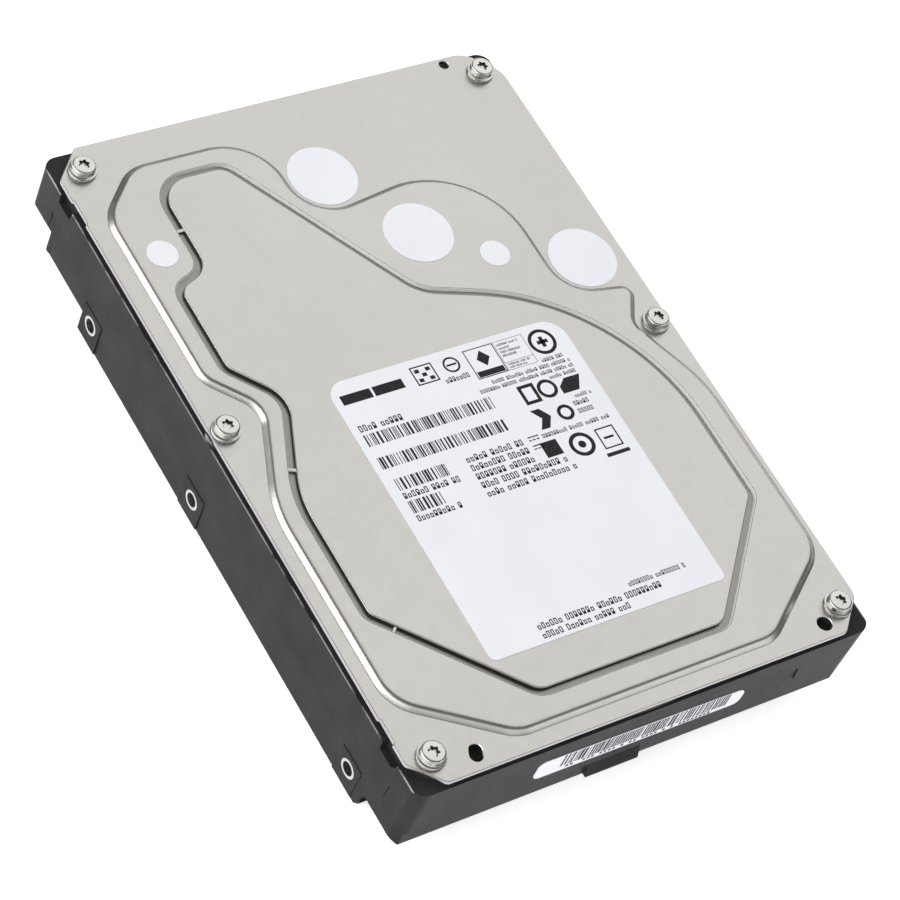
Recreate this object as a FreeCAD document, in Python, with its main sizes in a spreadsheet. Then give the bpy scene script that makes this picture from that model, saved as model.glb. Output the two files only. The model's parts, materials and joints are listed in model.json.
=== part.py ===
import FreeCAD, Part
import math
import os

"""A 3.5 inch hard disk drive as an assembly of separate parts.

Frame: +Z up with the cover on top, the origin under the middle of the drive on the plane of its
bottom mounting face. X runs across the 101.6 mm width, Y along the 147 mm length. The plain end
faces -Y and the connector end faces +Y. All sizes are in millimetres.
"""

V = FreeCAD.Vector
os.makedirs("parts", exist_ok=True)
doc = FreeCAD.newDocument("hard_disk_drive")

# --------------------------------------------------------------------------- driving dimensions
SIZES = {
    # form factor
    "drive_width": 101.6, "drive_length": 147.0, "drive_height": 26.1,
    "side_hole_height": 6.35, "bottom_hole_spacing": 95.25, "mount_hole_radius": 1.45,
    "mount_hole_depth": 5.0, "connector_end_to_side_hole": 28.5, "side_hole_long_spacing": 101.6,
    "side_hole_short_spacing": 41.61, "connector_end_to_bottom_hole": 41.28,
    "bottom_hole_short_spacing": 44.45, "bottom_hole_long_spacing": 76.2,
    # base casting
    "base_near_end": 72.8, "base_far_end": 73.2, "base_corner_radius": 3.0, "base_rim": 22.0,
    "floor_top": 9.4, "floor_bottom": 7.6, "rail_inner": 43.2, "rail_chamfer": 1.7,
    "wall_inner": 47.8, "chamber_far": 70.5, "chamber_radius": 48.4, "boss_radius": 3.4,
    "boss_top": 23.2, "motor_well_outer": 17.0, "motor_well_inner": 15.2,
    "motor_well_bottom": 1.6, "motor_well_floor": 3.0, "stator_boss_radius": 5.0,
    "stator_boss_top": 7.0, "side_relief": 0.15, "hole_pad_top": 9.6, "lower_band_top": 10.2,
    "lower_band_draft": 0.35, "end_relief": 0.25, "end_wall_bottom": 4.8, "end_wall_inner": 70.6,
    "notch_bottom": 19.8, "notch_depth": 1.5, "end_field_top": 15.9, "end_field_bottom": 10.8,
    "end_field_depth": 0.25, "lug_reach": 73.5, "end_bevel": 1.7, "end_bevel_run": 10.8,
    # cover stack
    "cover_half_width": 50.3, "cover_far": 72.9, "cover_near": 72.5, "cover_bottom": 23.2,
    "sheet_thickness": 0.8, "plateau_height": 1.0, "plateau_slope": 1.2, "recess_depth": 0.75,
    "damper_thickness": 0.85, "damper_gap": 1.4, "label_thickness": 0.1, "gasket_width": 0.9,
    "gasket_inset": 0.2,
    "cover_screw_hole": 1.25, "screw_flange_radius": 2.8, "screw_head_radius": 2.35,
    "screw_flange_thickness": 0.75, "screw_shank_radius": 1.0, "screw_shank_length": 8.0,
    # spindle
    "spindle_y": -23.0, "platter_radius": 47.5, "platter_bore": 12.5, "platter_thickness": 1.0,
    "platter_gap": 1.9, "first_platter": 11.3, "hub_radius": 12.4, "hub_flange_radius": 15.6,
    "hub_top": 20.8, "shaft_radius": 2.0, "shaft_clearance": 0.05, "sleeve_radius": 4.0,
    "sleeve_top": 10.2, "skirt_outer": 14.1, "skirt_inner": 12.7, "skirt_bottom": 4.2,
    "magnet_inner": 11.5, "spacer_radius": 16.0, "clamp_radius": 15.5, "clamp_top": 22.2,
    "tooth_width": 1.6, "tooth_bottom": 5.6, "tooth_top": 8.6, "tooth_tip_radius": 11.2,
    # actuator
    "pivot_x": 10.8, "pivot_y": 34.2, "pivot_post_radius": 3.0, "pivot_sleeve_inner": 5.7,
    "pivot_sleeve_outer": 6.5, "arm_block_radius": 8.0, "arm_block_bottom": 9.9,
    "arm_block_top": 22.35, "arm_thickness": 0.8, "head_distance": 50.5, "park_angle": 205.7,
    "beam_thickness": 0.15, "slider_thickness": 0.3, "coil_bottom": 14.4, "coil_top": 17.8,
    "coil_half_angle": 15.0, "frame_half_angle": 18.5, "coil_inner": 15.0, "coil_outer": 33.0,
    "frame_outer": 35.0, "yoke_bottom_top": 12.4, "yoke_top_bottom": 20.0, "yoke_top_top": 22.6,
    "magnet_thickness": 1.4, "post_radius": 1.8,
    # circuit board
    "board_bottom": 1.6, "board_thickness": 1.2, "board_half_width": 42.6, "board_near": -12.0,
    "board_far": 70.6, "board_screw_radius": 0.85, "insulator_thickness": 0.5,
    # connector
    "connector_centre": 17.41, "connector_half_width": 20.9, "connector_depth": 9.5,
    "connector_bottom": 0.9, "connector_top": 7.3, "contact_pitch": 1.27,
}
sheet = doc.addObject("Spreadsheet::Sheet", "Sizes")
for row, (alias, value) in enumerate(SIZES.items(), start=1):
    sheet.set("A%d" % row, alias)
    sheet.set("B%d" % row, str(value))
    sheet.setAlias("B%d" % row, alias)
doc.recompute()


def size(alias):
    """The present value of one driving dimension."""
    return float(sheet.get(alias))


SCREWS = [(-45.3, 67.3), (45.3, 67.3), (-47.3, 5.4), (47.0, 1.1), (-45.3, -67.0), (45.3, -67.0)]
TOOLING_HOLES = [(38.9, 71.2, 1.0), (40.7, -69.4, 1.5)]
BOARD_SCREWS = [(-38.5, 66.0), (-38.5, 22.0), (38.0, 22.0), (-38.5, -8.0), (38.0, -8.0)]
FAR = size("drive_length") / 2
SIDE_HOLES_Y = [FAR - size("connector_end_to_side_hole")]
SIDE_HOLES_Y += [SIDE_HOLES_Y[0] - size("side_hole_short_spacing"),
                 SIDE_HOLES_Y[0] - size("side_hole_long_spacing")]
BOTTOM_HOLES_Y = [FAR - size("connector_end_to_bottom_hole")]
BOTTOM_HOLES_Y += [BOTTOM_HOLES_Y[0] - size("bottom_hole_short_spacing"),
                   BOTTOM_HOLES_Y[0] - size("bottom_hole_long_spacing")]
nodes = {}

# --------------------------------------------------------------------------- modelling helpers


def keep(node, feature):
    """Name a finished sub-part after its node."""
    feature.Label = node
    nodes[node] = feature
    return feature


def bind(feature, prop, value):
    """Give a property a number, or bind it to an expression over the sheet's cells."""
    if isinstance(value, str):
        feature.setExpression(prop, value)
    else:
        feature.setExpression(prop, repr(float(value)))


def at(feature, x, y, z):
    bind(feature, "Placement.Base.x", x)
    bind(feature, "Placement.Base.y", y)
    bind(feature, "Placement.Base.z", z)
    return feature


def box(name, x, y, z, length, width, height):
    """A box from its lowest corner."""
    feature = doc.addObject("Part::Box", name)
    bind(feature, "Length", length)
    bind(feature, "Width", width)
    bind(feature, "Height", height)
    return at(feature, x, y, z)


def placed_box(name, length, width, height, placement):
    """A box with its lowest corner at its own origin, then moved and turned."""
    feature = doc.addObject("Part::Box", name)
    bind(feature, "Length", length)
    bind(feature, "Width", width)
    bind(feature, "Height", height)
    feature.Placement = placement
    return feature


def cylinder(name, radius, x, y, z, height):
    feature = doc.addObject("Part::Cylinder", name)
    bind(feature, "Radius", radius)
    bind(feature, "Height", height)
    return at(feature, x, y, z)


def cut(name, base, tool):
    feature = doc.addObject("Part::Cut", name)
    feature.Base = base
    feature.Tool = tool
    return feature


def fuse(name, shapes):
    feature = doc.addObject("Part::MultiFuse", name)
    feature.Shapes = shapes
    feature.Refine = True
    return feature


def group(name, links):
    """Several separate solids of one kind in one node."""
    feature = doc.addObject("Part::Compound", name)
    feature.Links = links
    return feature


def ring(name, outer, inner, x, y, z, height):
    return cut(name, cylinder(name + "_outer", outer, x, y, z, height),
               cylinder(name + "_bore", inner, x, y, z, height))


def corner_arc(previous, corner, following):
    """Tangent points and middle point of the rounding of one outline corner."""
    point = V(corner[0], corner[1], 0)
    back = (V(previous[0], previous[1], 0) - point).normalize()
    ahead = (V(following[0], following[1], 0) - point).normalize()
    half = back.getAngle(ahead) / 2
    run = corner[2] / math.tan(half)
    inward = (back + ahead).normalize()
    centre = point + inward * (corner[2] / math.sin(half))
    return point + back * run, centre - inward * corner[2], point + ahead * run


def outline_edges(outline):
    """Lines and arcs of a closed outline given as corners (x, y, radius), or one circle."""
    if len(outline) == 1:
        x, y, radius = outline[0]
        return [Part.Circle(V(x, y, 0), V(0, 0, 1), radius)]
    stops = []
    for index, corner in enumerate(outline):
        if corner[2] > 0:
            stops.append(corner_arc(outline[index - 1], corner, outline[(index + 1) % len(outline)]))
        else:
            point = V(corner[0], corner[1], 0)
            stops.append((point, None, point))
    edges = []
    for index, (start, middle, end) in enumerate(stops):
        if middle is not None:
            edges.append(Part.Arc(start, middle, end))
        following = stops[(index + 1) % len(stops)][0]
        if (following - end).Length > 0.001:
            edges.append(Part.LineSegment(end, following))
    return edges


def offset_outline(outline, distance):
    """The outline moved outwards by distance (inwards if negative), roundings kept concentric.

    The corners run anticlockwise."""
    moved = []
    count = len(outline)
    for index, (x, y, radius) in enumerate(outline):
        before = V(x - outline[index - 1][0], y - outline[index - 1][1], 0).normalize()
        after = V(outline[(index + 1) % count][0] - x, outline[(index + 1) % count][1] - y, 0)
        after.normalize()
        turn = before.x * after.y - before.y * after.x
        normal = V(before.y + after.y, -before.x - after.x, 0)
        scale = distance / (1 + before.dot(after))
        new_radius = radius + distance if turn > 0 else radius - distance
        moved.append((x + normal.x * scale, y + normal.y * scale, max(new_radius, 0.2)))
    return moved


def slot_outline(x, y, width, length, degrees):
    """A slot with round ends, its length turned by an angle from the X axis."""
    along = V(math.cos(math.radians(degrees)), math.sin(math.radians(degrees)), 0) * (length / 2)
    across = V(-along.y, along.x, 0).normalize() * (width / 2)
    corners = [-along - across, along - across, along + across, -along + across]
    return [(x + corner.x, y + corner.y, width / 2) for corner in corners]


def arc_corners(centre, radius, start, end, count):
    """Corners whose roundings join into one arc about centre, from start to end in degrees."""
    step = (end - start) / count
    reach = radius / math.cos(math.radians(step / 2))
    corners = []
    for index in range(count):
        angle = math.radians(start + step * (index + 0.5))
        corners.append((centre[0] + reach * math.cos(angle), centre[1] + reach * math.sin(angle),
                        radius))
    return corners


def tangent_crossing(centre, radius, degrees, x):
    """Height y at which the tangent to a circle, at the given angle, crosses the line x."""
    angle = math.radians(degrees)
    touch = V(centre[0] + radius * math.cos(angle), centre[1] + radius * math.sin(angle), 0)
    return touch.y - (x - touch.x) / math.tan(angle)


def plane(body, role):
    return [item for item in body.Origin.OriginFeatures if item.Role == role][0]


def sketch(body, name, role, offset, outlines):
    """A sketch of closed outlines on one of the body's own origin planes."""
    drawing = body.newObject("Sketcher::SketchObject", name)
    drawing.AttachmentSupport = [(plane(body, role), "")]
    drawing.MapMode = "FlatFace"
    bind(drawing, "AttachmentOffset.Base.z", offset)
    for outline in outlines:
        drawing.addGeometry(outline_edges(outline), False)
    return drawing


def new_body(name):
    return doc.addObject("PartDesign::Body", name)


def pad(body, name, drawing, length, backwards=False):
    feature = body.newObject("PartDesign::Pad", name)
    feature.Profile = drawing
    bind(feature, "Length", length)
    feature.Reversed = backwards
    return feature


def pocket(body, name, drawing, length, backwards=False, both=False):
    """Cut against the sketch's normal, or along it if backwards."""
    feature = body.newObject("PartDesign::Pocket", name)
    feature.Profile = drawing
    bind(feature, "Length", length)
    feature.Reversed = backwards
    feature.Midplane = both
    return feature


def plate(node, outlines, bottom, thickness):
    """A flat body of one thickness from its outline and any holes in it."""
    body = new_body(node)
    drawing = sketch(body, node + "_outline", "XY_Plane", bottom, outlines)
    pad(body, node + "_pad", drawing, thickness)
    return body


def turned_body(node, profile, centre):
    """A body of revolution from a profile of (radius, height) corners."""
    body = new_body(node)
    drawing = sketch(body, node + "_profile", "XZ_Plane", 0, [[(r, h, 0) for r, h in profile]])
    feature = body.newObject("PartDesign::Revolution", node + "_revolution")
    feature.Profile = drawing
    feature.ReferenceAxis = (drawing, ["V_Axis"])
    feature.Angle = 360
    body.Placement = FreeCAD.Placement(V(centre[0], centre[1], 0), FreeCAD.Rotation())
    return body


def fan(name, centre, inner, outer, start, end, bottom, height):
    """A flat sector between two radii and two angles in degrees."""
    outer_disc = cylinder(name + "_disc", outer, centre[0], centre[1], bottom, height)
    outer_disc.Angle = end - start
    outer_disc.Placement.Rotation = FreeCAD.Rotation(V(0, 0, 1), start)
    return cut(name, outer_disc, cylinder(name + "_bore", inner, centre[0], centre[1], bottom, height))


SPINDLE = (0.0, size("spindle_y"))
PIVOT = (size("pivot_x"), size("pivot_y"))
PIVOT_3D = (PIVOT[0], PIVOT[1], 0.0)
PARK = size("park_angle")
COVER_TOP = "Sizes.cover_bottom + Sizes.sheet_thickness"
RECESS_FLOOR = COVER_TOP + " + Sizes.plateau_height - Sizes.recess_depth"

# --------------------------------------------------------------------------- shared outlines


def base_outline():
    half = size("drive_width") / 2
    near = -size("base_near_end")
    far = size("base_far_end")
    radius = size("base_corner_radius")
    return [(-half, near, radius), (half, near, radius), (half, far, radius), (-half, far, radius)]


def chamber_outline():
    """The sealed chamber: round about the platters, square behind, and round each screw boss."""
    wall = size("wall_inner")
    far = size("chamber_far")
    neck = 42.4
    radius = size("chamber_radius")
    corners = arc_corners(SPINDLE, radius, -206, 25, 5)
    corners += [(neck, tangent_crossing(SPINDLE, radius, 25, neck), 3.0), (neck, 5.4, 3.0)]
    corners += [(wall, 10.4, 3.0)]
    corners += [(wall, 61.0, 3.0), (40.0, 63.0, 3.0), (40.0, far, 2.0)]
    corners += [(-40.0, far, 2.0), (-40.0, 63.0, 3.0), (-wall, 61.0, 3.0)]
    corners += [(-wall, 14.6, 3.0), (-neck, 9.8, 3.0)]
    corners += [(-neck, tangent_crossing(SPINDLE, radius, -206, -neck), 2.0)]
    return corners


def plateau_outline():
    """Foot of the raised part of the cover, which bends round the screws and two of the seals."""
    return [(-47.65, -55.6, 9.5), (-28.3, -69.4, 9), (29.3, -69.4, 9), (49.2, -55.6, 9),
            (49.2, -14.5, 30), (42.5, 1.8, 3.5), (47.9, 10.4, 2.4), (33.2, 13.1, 7.6),
            (33.0, 49.4, 18.5), (-7.7, 43.7, 8), (-8.0, 65.5, 11.5), (-36.6, 65.5, 9),
            (-46.7, 55.8, 10), (-46.7, 16.4, 6), (-39.0, 7.3, 5.5), (-47.65, -12.8, 28)]


def recess_outline():
    """Edge of the sunk field in the plateau that the damper plate lies in."""
    corners = [(-43.2, -38.8, 4), (-20.6, -64.1, 5.5), (21.6, -64.1, 5.5), (43.4, -40.9, 4)]
    centre = (0.5, -21.8)
    radius = 42.9
    corners += arc_corners(centre, radius, 0, 70, 2)
    corners += [(4.4, tangent_crossing(centre, radius, 70, 4.4), 9), (-18.2, 61.0, 5),
                (-34.9, 61.0, 7.5), (-34.9, 39.6, 4), (-42.2, 37.0, 4.5), (-42.2, 16.9, 4.5),
                (-34.5, 7.6, 5.5), (-43.2, -12, 26)]
    return corners


def cover_outline():
    half = size("cover_half_width")
    near = -size("cover_near")
    far = size("cover_far")
    notch = 0.35
    right = [(half, -66.2, 3.0), (half, 66.5, 6.0), (44.4, far, 6.0)]
    left = [(-44.2, far, 1.5), (-half, 66.6, 1.5)]
    for high, low in ((61.5, 55.5), (-57.0, -62.5)):
        left += [(-half, high, 0.0), (-half + notch, high - notch, 0.0),
                 (-half + notch, low + notch, 0.0), (-half, low, 0.0)]
    left += [(-half, -66.7, 1.5), (-44.8, near, 1.5)]
    return [(44.0, near, 1.5)] + right + left


# --------------------------------------------------------------------------- base casting


def make_base_casting():
    """Die-cast tray: sealed chamber above, board bay and mounting rails below."""
    body = new_body("base_casting")
    block = sketch(body, "base_block_outline", "XY_Plane", 0, [base_outline()])
    pad(body, "base_block", block, "Sizes.base_rim")
    chamber = sketch(body, "chamber_outline", "XY_Plane", "Sizes.base_rim", [chamber_outline()])
    pocket(body, "chamber", chamber, "Sizes.base_rim - Sizes.floor_top")
    rail = size("rail_inner")
    long = size("drive_length")
    lip = -size("end_wall_inner")
    open_bay = [(-rail, -long, 0), (rail, -long, 0), (rail, long, 0), (-rail, long, 0)]
    closed_bay = [(-rail, lip, 0), (rail, lip, 0), (rail, long, 0), (-rail, long, 0)]
    for word, outline, height in (("open", open_bay, "Sizes.end_wall_bottom"),
                                  ("closed", closed_bay, "Sizes.floor_bottom")):
        drawing = sketch(body, word + "_bay_outline", "XY_Plane", 0, [outline])
        pocket(body, word + "_bay", drawing, height, backwards=True)
    well = sketch(body, "well_outline", "XY_Plane", "Sizes.motor_well_bottom",
                  [[SPINDLE + (size("motor_well_outer"),)]])
    pad(body, "motor_well", well, "Sizes.floor_bottom - Sizes.motor_well_bottom")
    hollow = sketch(body, "well_hollow_outline", "XY_Plane", "Sizes.floor_top",
                    [[SPINDLE + (size("motor_well_inner"),)]])
    pocket(body, "well_hollow", hollow, "Sizes.floor_top - Sizes.motor_well_floor")
    boss = sketch(body, "stator_boss_outline", "XY_Plane", "Sizes.motor_well_floor",
                  [[SPINDLE + (size("stator_boss_radius"),)]])
    pad(body, "stator_boss", boss, "Sizes.stator_boss_top - Sizes.motor_well_floor")
    bore = sketch(body, "sleeve_bore_outline", "XY_Plane", "Sizes.stator_boss_top",
                  [[SPINDLE + (size("sleeve_radius"),)]])
    pocket(body, "sleeve_bore", bore, "Sizes.stator_boss_top")
    make_board_posts(body)
    make_screw_bosses(body)
    make_end_steps(body)
    make_mount_holes(body)
    make_side_reliefs(body)
    make_end_relief(body)
    make_end_bevels(body)
    make_end_lug(body)
    keep("base_casting", body)


def make_board_posts(body):
    """Posts under the floor that the circuit board is screwed to."""
    posts = sketch(body, "board_posts_outline", "XY_Plane", "Sizes.board_bottom + Sizes.board_thickness",
                   [[(x, y, 2.4)] for x, y in BOARD_SCREWS])
    pad(body, "board_posts", posts,
        "Sizes.floor_bottom - Sizes.board_bottom - Sizes.board_thickness")
    holes = sketch(body, "board_post_holes_outline", "XY_Plane", 0,
                   [[(x, y, size("board_screw_radius") + 0.05)] for x, y in BOARD_SCREWS])
    pocket(body, "board_post_holes", holes, 7.0, backwards=True)


def make_screw_bosses(body):
    """Round bosses that carry the cover, with the screw holes."""
    bosses = sketch(body, "screw_bosses_outline", "XY_Plane", "Sizes.base_rim",
                    [[(x, y, size("boss_radius"))] for x, y in SCREWS])
    pad(body, "screw_bosses", bosses, "Sizes.boss_top - Sizes.base_rim")
    holes = sketch(body, "screw_holes_outline", "XY_Plane", "Sizes.boss_top",
                   [[(x, y, size("screw_shank_radius") + 0.05)] for x, y in SCREWS])
    pocket(body, "screw_holes", holes, "Sizes.screw_shank_length + 0.6")
    pivot_hole = sketch(body, "pivot_hole_outline", "XY_Plane", "Sizes.floor_top",
                        [[PIVOT + (1.55,)]])
    pocket(body, "pivot_hole", pivot_hole, 1.2)


def make_end_steps(body):
    """The rails stop short of both ends, and their lower outer edges are bevelled."""
    half = size("drive_width") / 2
    bevel = size("rail_chamfer")
    outside = half + 1
    lip = size("end_wall_bottom")
    for side in (-1, 1):
        corner = [(side * outside, -1, 0), (side * outside, bevel + outside - half, 0),
                  (side * (half - bevel - 1), -1, 0)]
        pocket(body, "rail_bevel_%s" % ("left" if side < 0 else "right"),
               sketch(body, "rail_bevel_outline_%d" % (side + 1), "XZ_Plane", 0, [corner]),
               2 * size("drive_length"), both=True)
        steps = [(-75, -1, 0), (-61.0, -1, 0), (-61.0, bevel, 0), (-63.0, lip, 0), (-75, lip, 0)]
        far_steps = [(48.4, -1, 0), (75, -1, 0), (75, 11.4, 0), (64.2, 11.4, 0), (64.2, 6.2, 0),
                     (48.4, 6.2, 0)]
        step_sketch = sketch(body, "end_steps_outline_%d" % (side + 1), "YZ_Plane",
                             side * outside, [steps, far_steps])
        pocket(body, "end_steps_%s" % ("left" if side < 0 else "right"), step_sketch,
               outside - 41.0, backwards=(side < 0))


def make_end_bevels(body):
    """Bevels on the lower outer edges of the plain end."""
    half = size("drive_width") / 2
    bevel = size("end_bevel")
    bottom = size("end_wall_bottom")
    start = size("base_near_end") + 1
    for side in (-1, 1):
        corner = [(side * (half + 1), bottom + bevel + 1, 0), (side * (half + 1), bottom - 1, 0),
                  (side * (half - bevel - 1), bottom - 1, 0)]
        drawing = sketch(body, "end_bevel_outline_%d" % (side + 1), "XZ_Plane", start, [corner])
        pocket(body, "end_bevel_%s" % ("left" if side < 0 else "right"), drawing,
               size("end_bevel_run") + 1)


def make_end_lug(body):
    """Casting lug low on the plain end: a wedge that stands out most at its foot."""
    reach = -size("lug_reach")
    bottom = size("end_wall_bottom")
    wall = -size("base_near_end")
    profile = [(reach, bottom, 0), (wall + 1, bottom, 0), (wall + 1, bottom + 3.2, 0),
               (wall + 0.3, bottom + 3.2, 0), (reach, bottom + 0.4, 0)]
    drawing = sketch(body, "end_lug_outline", "YZ_Plane", -9.0, [profile])
    pad(body, "end_lug", drawing, 11.8)


def make_mount_holes(body):
    """Tapped holes for the drive's mounting screws, in both sides and in the bottom."""
    radius = size("mount_hole_radius")
    spread = size("bottom_hole_spacing") / 2
    bottom = [[(side * spread, y, radius)] for side in (-1, 1) for y in BOTTOM_HOLES_Y]
    pocket(body, "bottom_holes", sketch(body, "bottom_holes_outline", "XY_Plane", 0, bottom),
           "Sizes.mount_hole_depth", backwards=True)
    half = size("drive_width") / 2
    height = size("side_hole_height")
    for side, word in ((-1, "left"), (1, "right")):
        holes = sketch(body, "side_holes_outline_" + word, "YZ_Plane", side * half,
                       [[(y, height, radius)] for y in SIDE_HOLES_Y])
        pocket(body, "side_holes_" + word, holes, "Sizes.mount_hole_depth", backwards=(side < 0))


def make_side_reliefs(body):
    """Shallow steps in the sides: the flat pads round the holes and the rim notches."""
    half = size("drive_width") / 2
    low = -1.0
    high = size("base_rim") + 1
    pad_top = size("hole_pad_top")
    notch = size("notch_bottom")
    first, second, third = SIDE_HOLES_Y
    field = [(80, high, 0), (-80, high, 0), (-80, low, 0), (third - 3.2, low, 0),
             (third - 3.2, pad_top, 0), (third + 3.4, pad_top, 0), (third + 3.4, low, 0),
             (second - 3.4, low, 0), (second - 3.4, pad_top, 0), (second + 3.4, pad_top, 0),
             (second + 3.4, low, 0), (first - 3.2, low, 0), (first - 3.2, pad_top, 0),
             (first + 3.4, pad_top, 0), (first + 3.4, low, 0), (80, low, 0)]
    notches = [[(60.2, notch, 0), (64.5, notch, 0), (64.9, high, 0), (59.7, high, 0)],
               [(-64.4, notch, 0), (-60.6, notch, 0), (-60.2, high, 0), (-66.0, high, 0),
                (-65.3, notch + 1, 0)]]
    for side, word in ((-1, "left"), (1, "right")):
        for label, outlines, depth in (("pad_field", [field], "Sizes.side_relief"),
                                       ("rim_notches", notches, "Sizes.notch_depth")):
            drawing = sketch(body, "%s_outline_%s" % (label, word), "YZ_Plane", side * half, outlines)
            pocket(body, "%s_%s" % (label, word), drawing, depth, backwards=(side < 0))
        make_side_wedges(body, side, word)


def make_side_wedges(body, side, word):
    """Tapered cuts in one side: the lower band leans in, and two small fields near the ends."""
    half = size("drive_width") / 2
    face = side * (half - size("side_relief"))
    outside = side * (half + 1)
    first, second, third = SIDE_HOLES_Y
    top = size("lower_band_top")
    foot = face - side * size("lower_band_draft")
    band = [(face, top, 0), (foot, -1, 0), (outside, -1, 0), (outside, top, 0)]
    field_top = size("end_field_top")
    ledge = face - side * size("end_field_depth")
    bottom = size("end_field_bottom")
    field = [(face, bottom, 0), (ledge, field_top, 0), (outside, field_top, 0), (outside, bottom, 0)]
    cuts = [("band_near", band, third + 3.4, second - 3.4),
            ("band_far", band, second + 3.4, first - 3.2), ("band_end", band, first + 3.4, 63.2),
            ("field_near", field, -69.4, -66.0), ("field_far", field, 61.6, 65.6)]
    for label, outline, start, end in cuts:
        drawing = sketch(body, "%s_outline_%s" % (label, word), "XZ_Plane", -start, [outline])
        pocket(body, "%s_%s" % (label, word), drawing, end - start)


def make_end_relief(body):
    """The plain end is set back a little inside a raised border at its top corners."""
    near = size("base_near_end")
    half = size("drive_width") / 2 + 1
    side = [(36.6, 11.9, 0), (41.8, 9.2, 0), (half, 8.2, 0), (half, -1, 0)]
    top = [(30.6, 18.6, 0), (32.3, 16.0, 0), (36.0, 16.0, 0)]
    outline = top + side + [(-x, z, 0) for x, z, _ in reversed(top + side)]
    drawing = sketch(body, "end_relief_outline", "XZ_Plane", near, [outline])
    pocket(body, "end_relief", drawing, "Sizes.end_relief")


# --------------------------------------------------------------------------- cover and its parts


def make_top_cover():
    """Pressed sheet: a flat flange, a raised plateau, and a sunk field inside the plateau."""
    body = new_body("top_cover")
    flange = sketch(body, "flange_outline", "XY_Plane", "Sizes.cover_bottom", [cover_outline()])
    pad(body, "flange", flange, "Sizes.sheet_thickness")
    foot = plateau_outline()
    slope = size("plateau_slope")
    lower = sketch(body, "plateau_foot", "XY_Plane", COVER_TOP, [foot])
    upper = sketch(body, "plateau_edge", "XY_Plane", COVER_TOP + " + Sizes.plateau_height",
                   [offset_outline(foot, -slope)])
    plateau = body.newObject("PartDesign::AdditiveLoft", "plateau")
    plateau.Profile = lower
    plateau.Sections = [upper]
    plateau.Ruled = True
    thickness = size("sheet_thickness")
    hollow = sketch(body, "plateau_hollow_outline", "XY_Plane", "Sizes.cover_bottom",
                    [offset_outline(foot, -slope - 0.3),
                     offset_outline(recess_outline(), thickness)])
    pocket(body, "plateau_hollow", hollow, "Sizes.plateau_height", backwards=True)
    recess = sketch(body, "recess_outline", "XY_Plane", COVER_TOP + " + Sizes.plateau_height",
                    [recess_outline()])
    pocket(body, "recess", recess, "Sizes.recess_depth")
    holes = [[(x, y, size("cover_screw_hole"))] for x, y in SCREWS]
    holes += [[hole] for hole in TOOLING_HOLES]
    holes.append(slot_outline(-37.1, -69.1, 2.5, 3.5, 66))
    pocket(body, "cover_holes", sketch(body, "cover_holes_outline", "XY_Plane", COVER_TOP, holes),
           "Sizes.sheet_thickness + 1")
    keep("top_cover", body)


def make_cover_gasket():
    inset = size("gasket_inset")
    outlines = [offset_outline(chamber_outline(), inset + size("gasket_width")),
                offset_outline(chamber_outline(), inset)]
    keep("cover_gasket", plate("cover_gasket", outlines, "Sizes.base_rim",
                               "Sizes.cover_bottom - Sizes.base_rim"))


def make_damper_plate():
    """Constrained-layer damper bonded into the sunk field."""
    outline = offset_outline(recess_outline(), -size("damper_gap"))
    keep("damper_plate", plate("damper_plate", [outline], RECESS_FLOOR, "Sizes.damper_thickness"))


def make_labels():
    label = [(-25.5, -54.8, 1.4), (26.9, -54.8, 1.4), (26.9, 7.8, 4.6), (-25.5, 7.8, 3.8)]
    keep("main_label", plate("main_label", [label], RECESS_FLOOR + " + Sizes.damper_thickness",
                             "Sizes.label_thickness"))
    body = new_body("end_label")
    strip = [(-22.8, 10.8, 2.0), (24.2, 10.3, 1.4), (24.2, 15.6, 2.2), (-22.8, 16.8, 1.6)]
    drawing = sketch(body, "end_label_outline", "XZ_Plane",
                     "Sizes.base_near_end - Sizes.end_relief", [strip])
    pad(body, "end_label_pad", drawing, "Sizes.label_thickness")
    keep("end_label", body)
    for node, radius, spots in (("large_seals", 7.1, [(-0.2, 52.8, 0), (41.0, 19.4, 0), PIVOT + (1,)]),
                                ("small_seals", 3.05, [(23.3, 25.1, 1), (-40.2, 44.4, 1)])):
        discs = []
        for index, (x, y, level) in enumerate(spots):
            height = COVER_TOP + " + %d * Sizes.plateau_height" % level
            discs.append(cylinder("%s_%d" % (node, index + 1), radius, x, y, height,
                                  "Sizes.label_thickness"))
        keep(node, group(node + "_group", discs))


def make_cover_screws():
    """Six flanged pan screws with a six-lobe socket."""
    screws = []
    for index, (x, y) in enumerate(SCREWS):
        name = "cover_screw_%d" % (index + 1)
        top = COVER_TOP + " + Sizes.screw_flange_thickness"
        head_height = "Sizes.drive_height - Sizes.cover_bottom - Sizes.sheet_thickness"
        flange = cylinder(name + "_flange", "Sizes.screw_flange_radius", x, y, COVER_TOP,
                          "Sizes.screw_flange_thickness")
        head = cylinder(name + "_head", "Sizes.screw_head_radius", x, y, top,
                        head_height + " - Sizes.screw_flange_thickness")
        shank = cylinder(name + "_shank", "Sizes.screw_shank_radius", x, y,
                         COVER_TOP + " - Sizes.screw_shank_length", "Sizes.screw_shank_length")
        solid = fuse(name + "_solid", [flange, head, shank])
        socket = cylinder(name + "_socket", 1.15, x, y, "Sizes.drive_height - 1.1", 2.0)
        screws.append(cut(name, solid, socket))
    keep("cover_screws", group("cover_screws_group", screws))


# --------------------------------------------------------------------------- spindle motor


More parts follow.
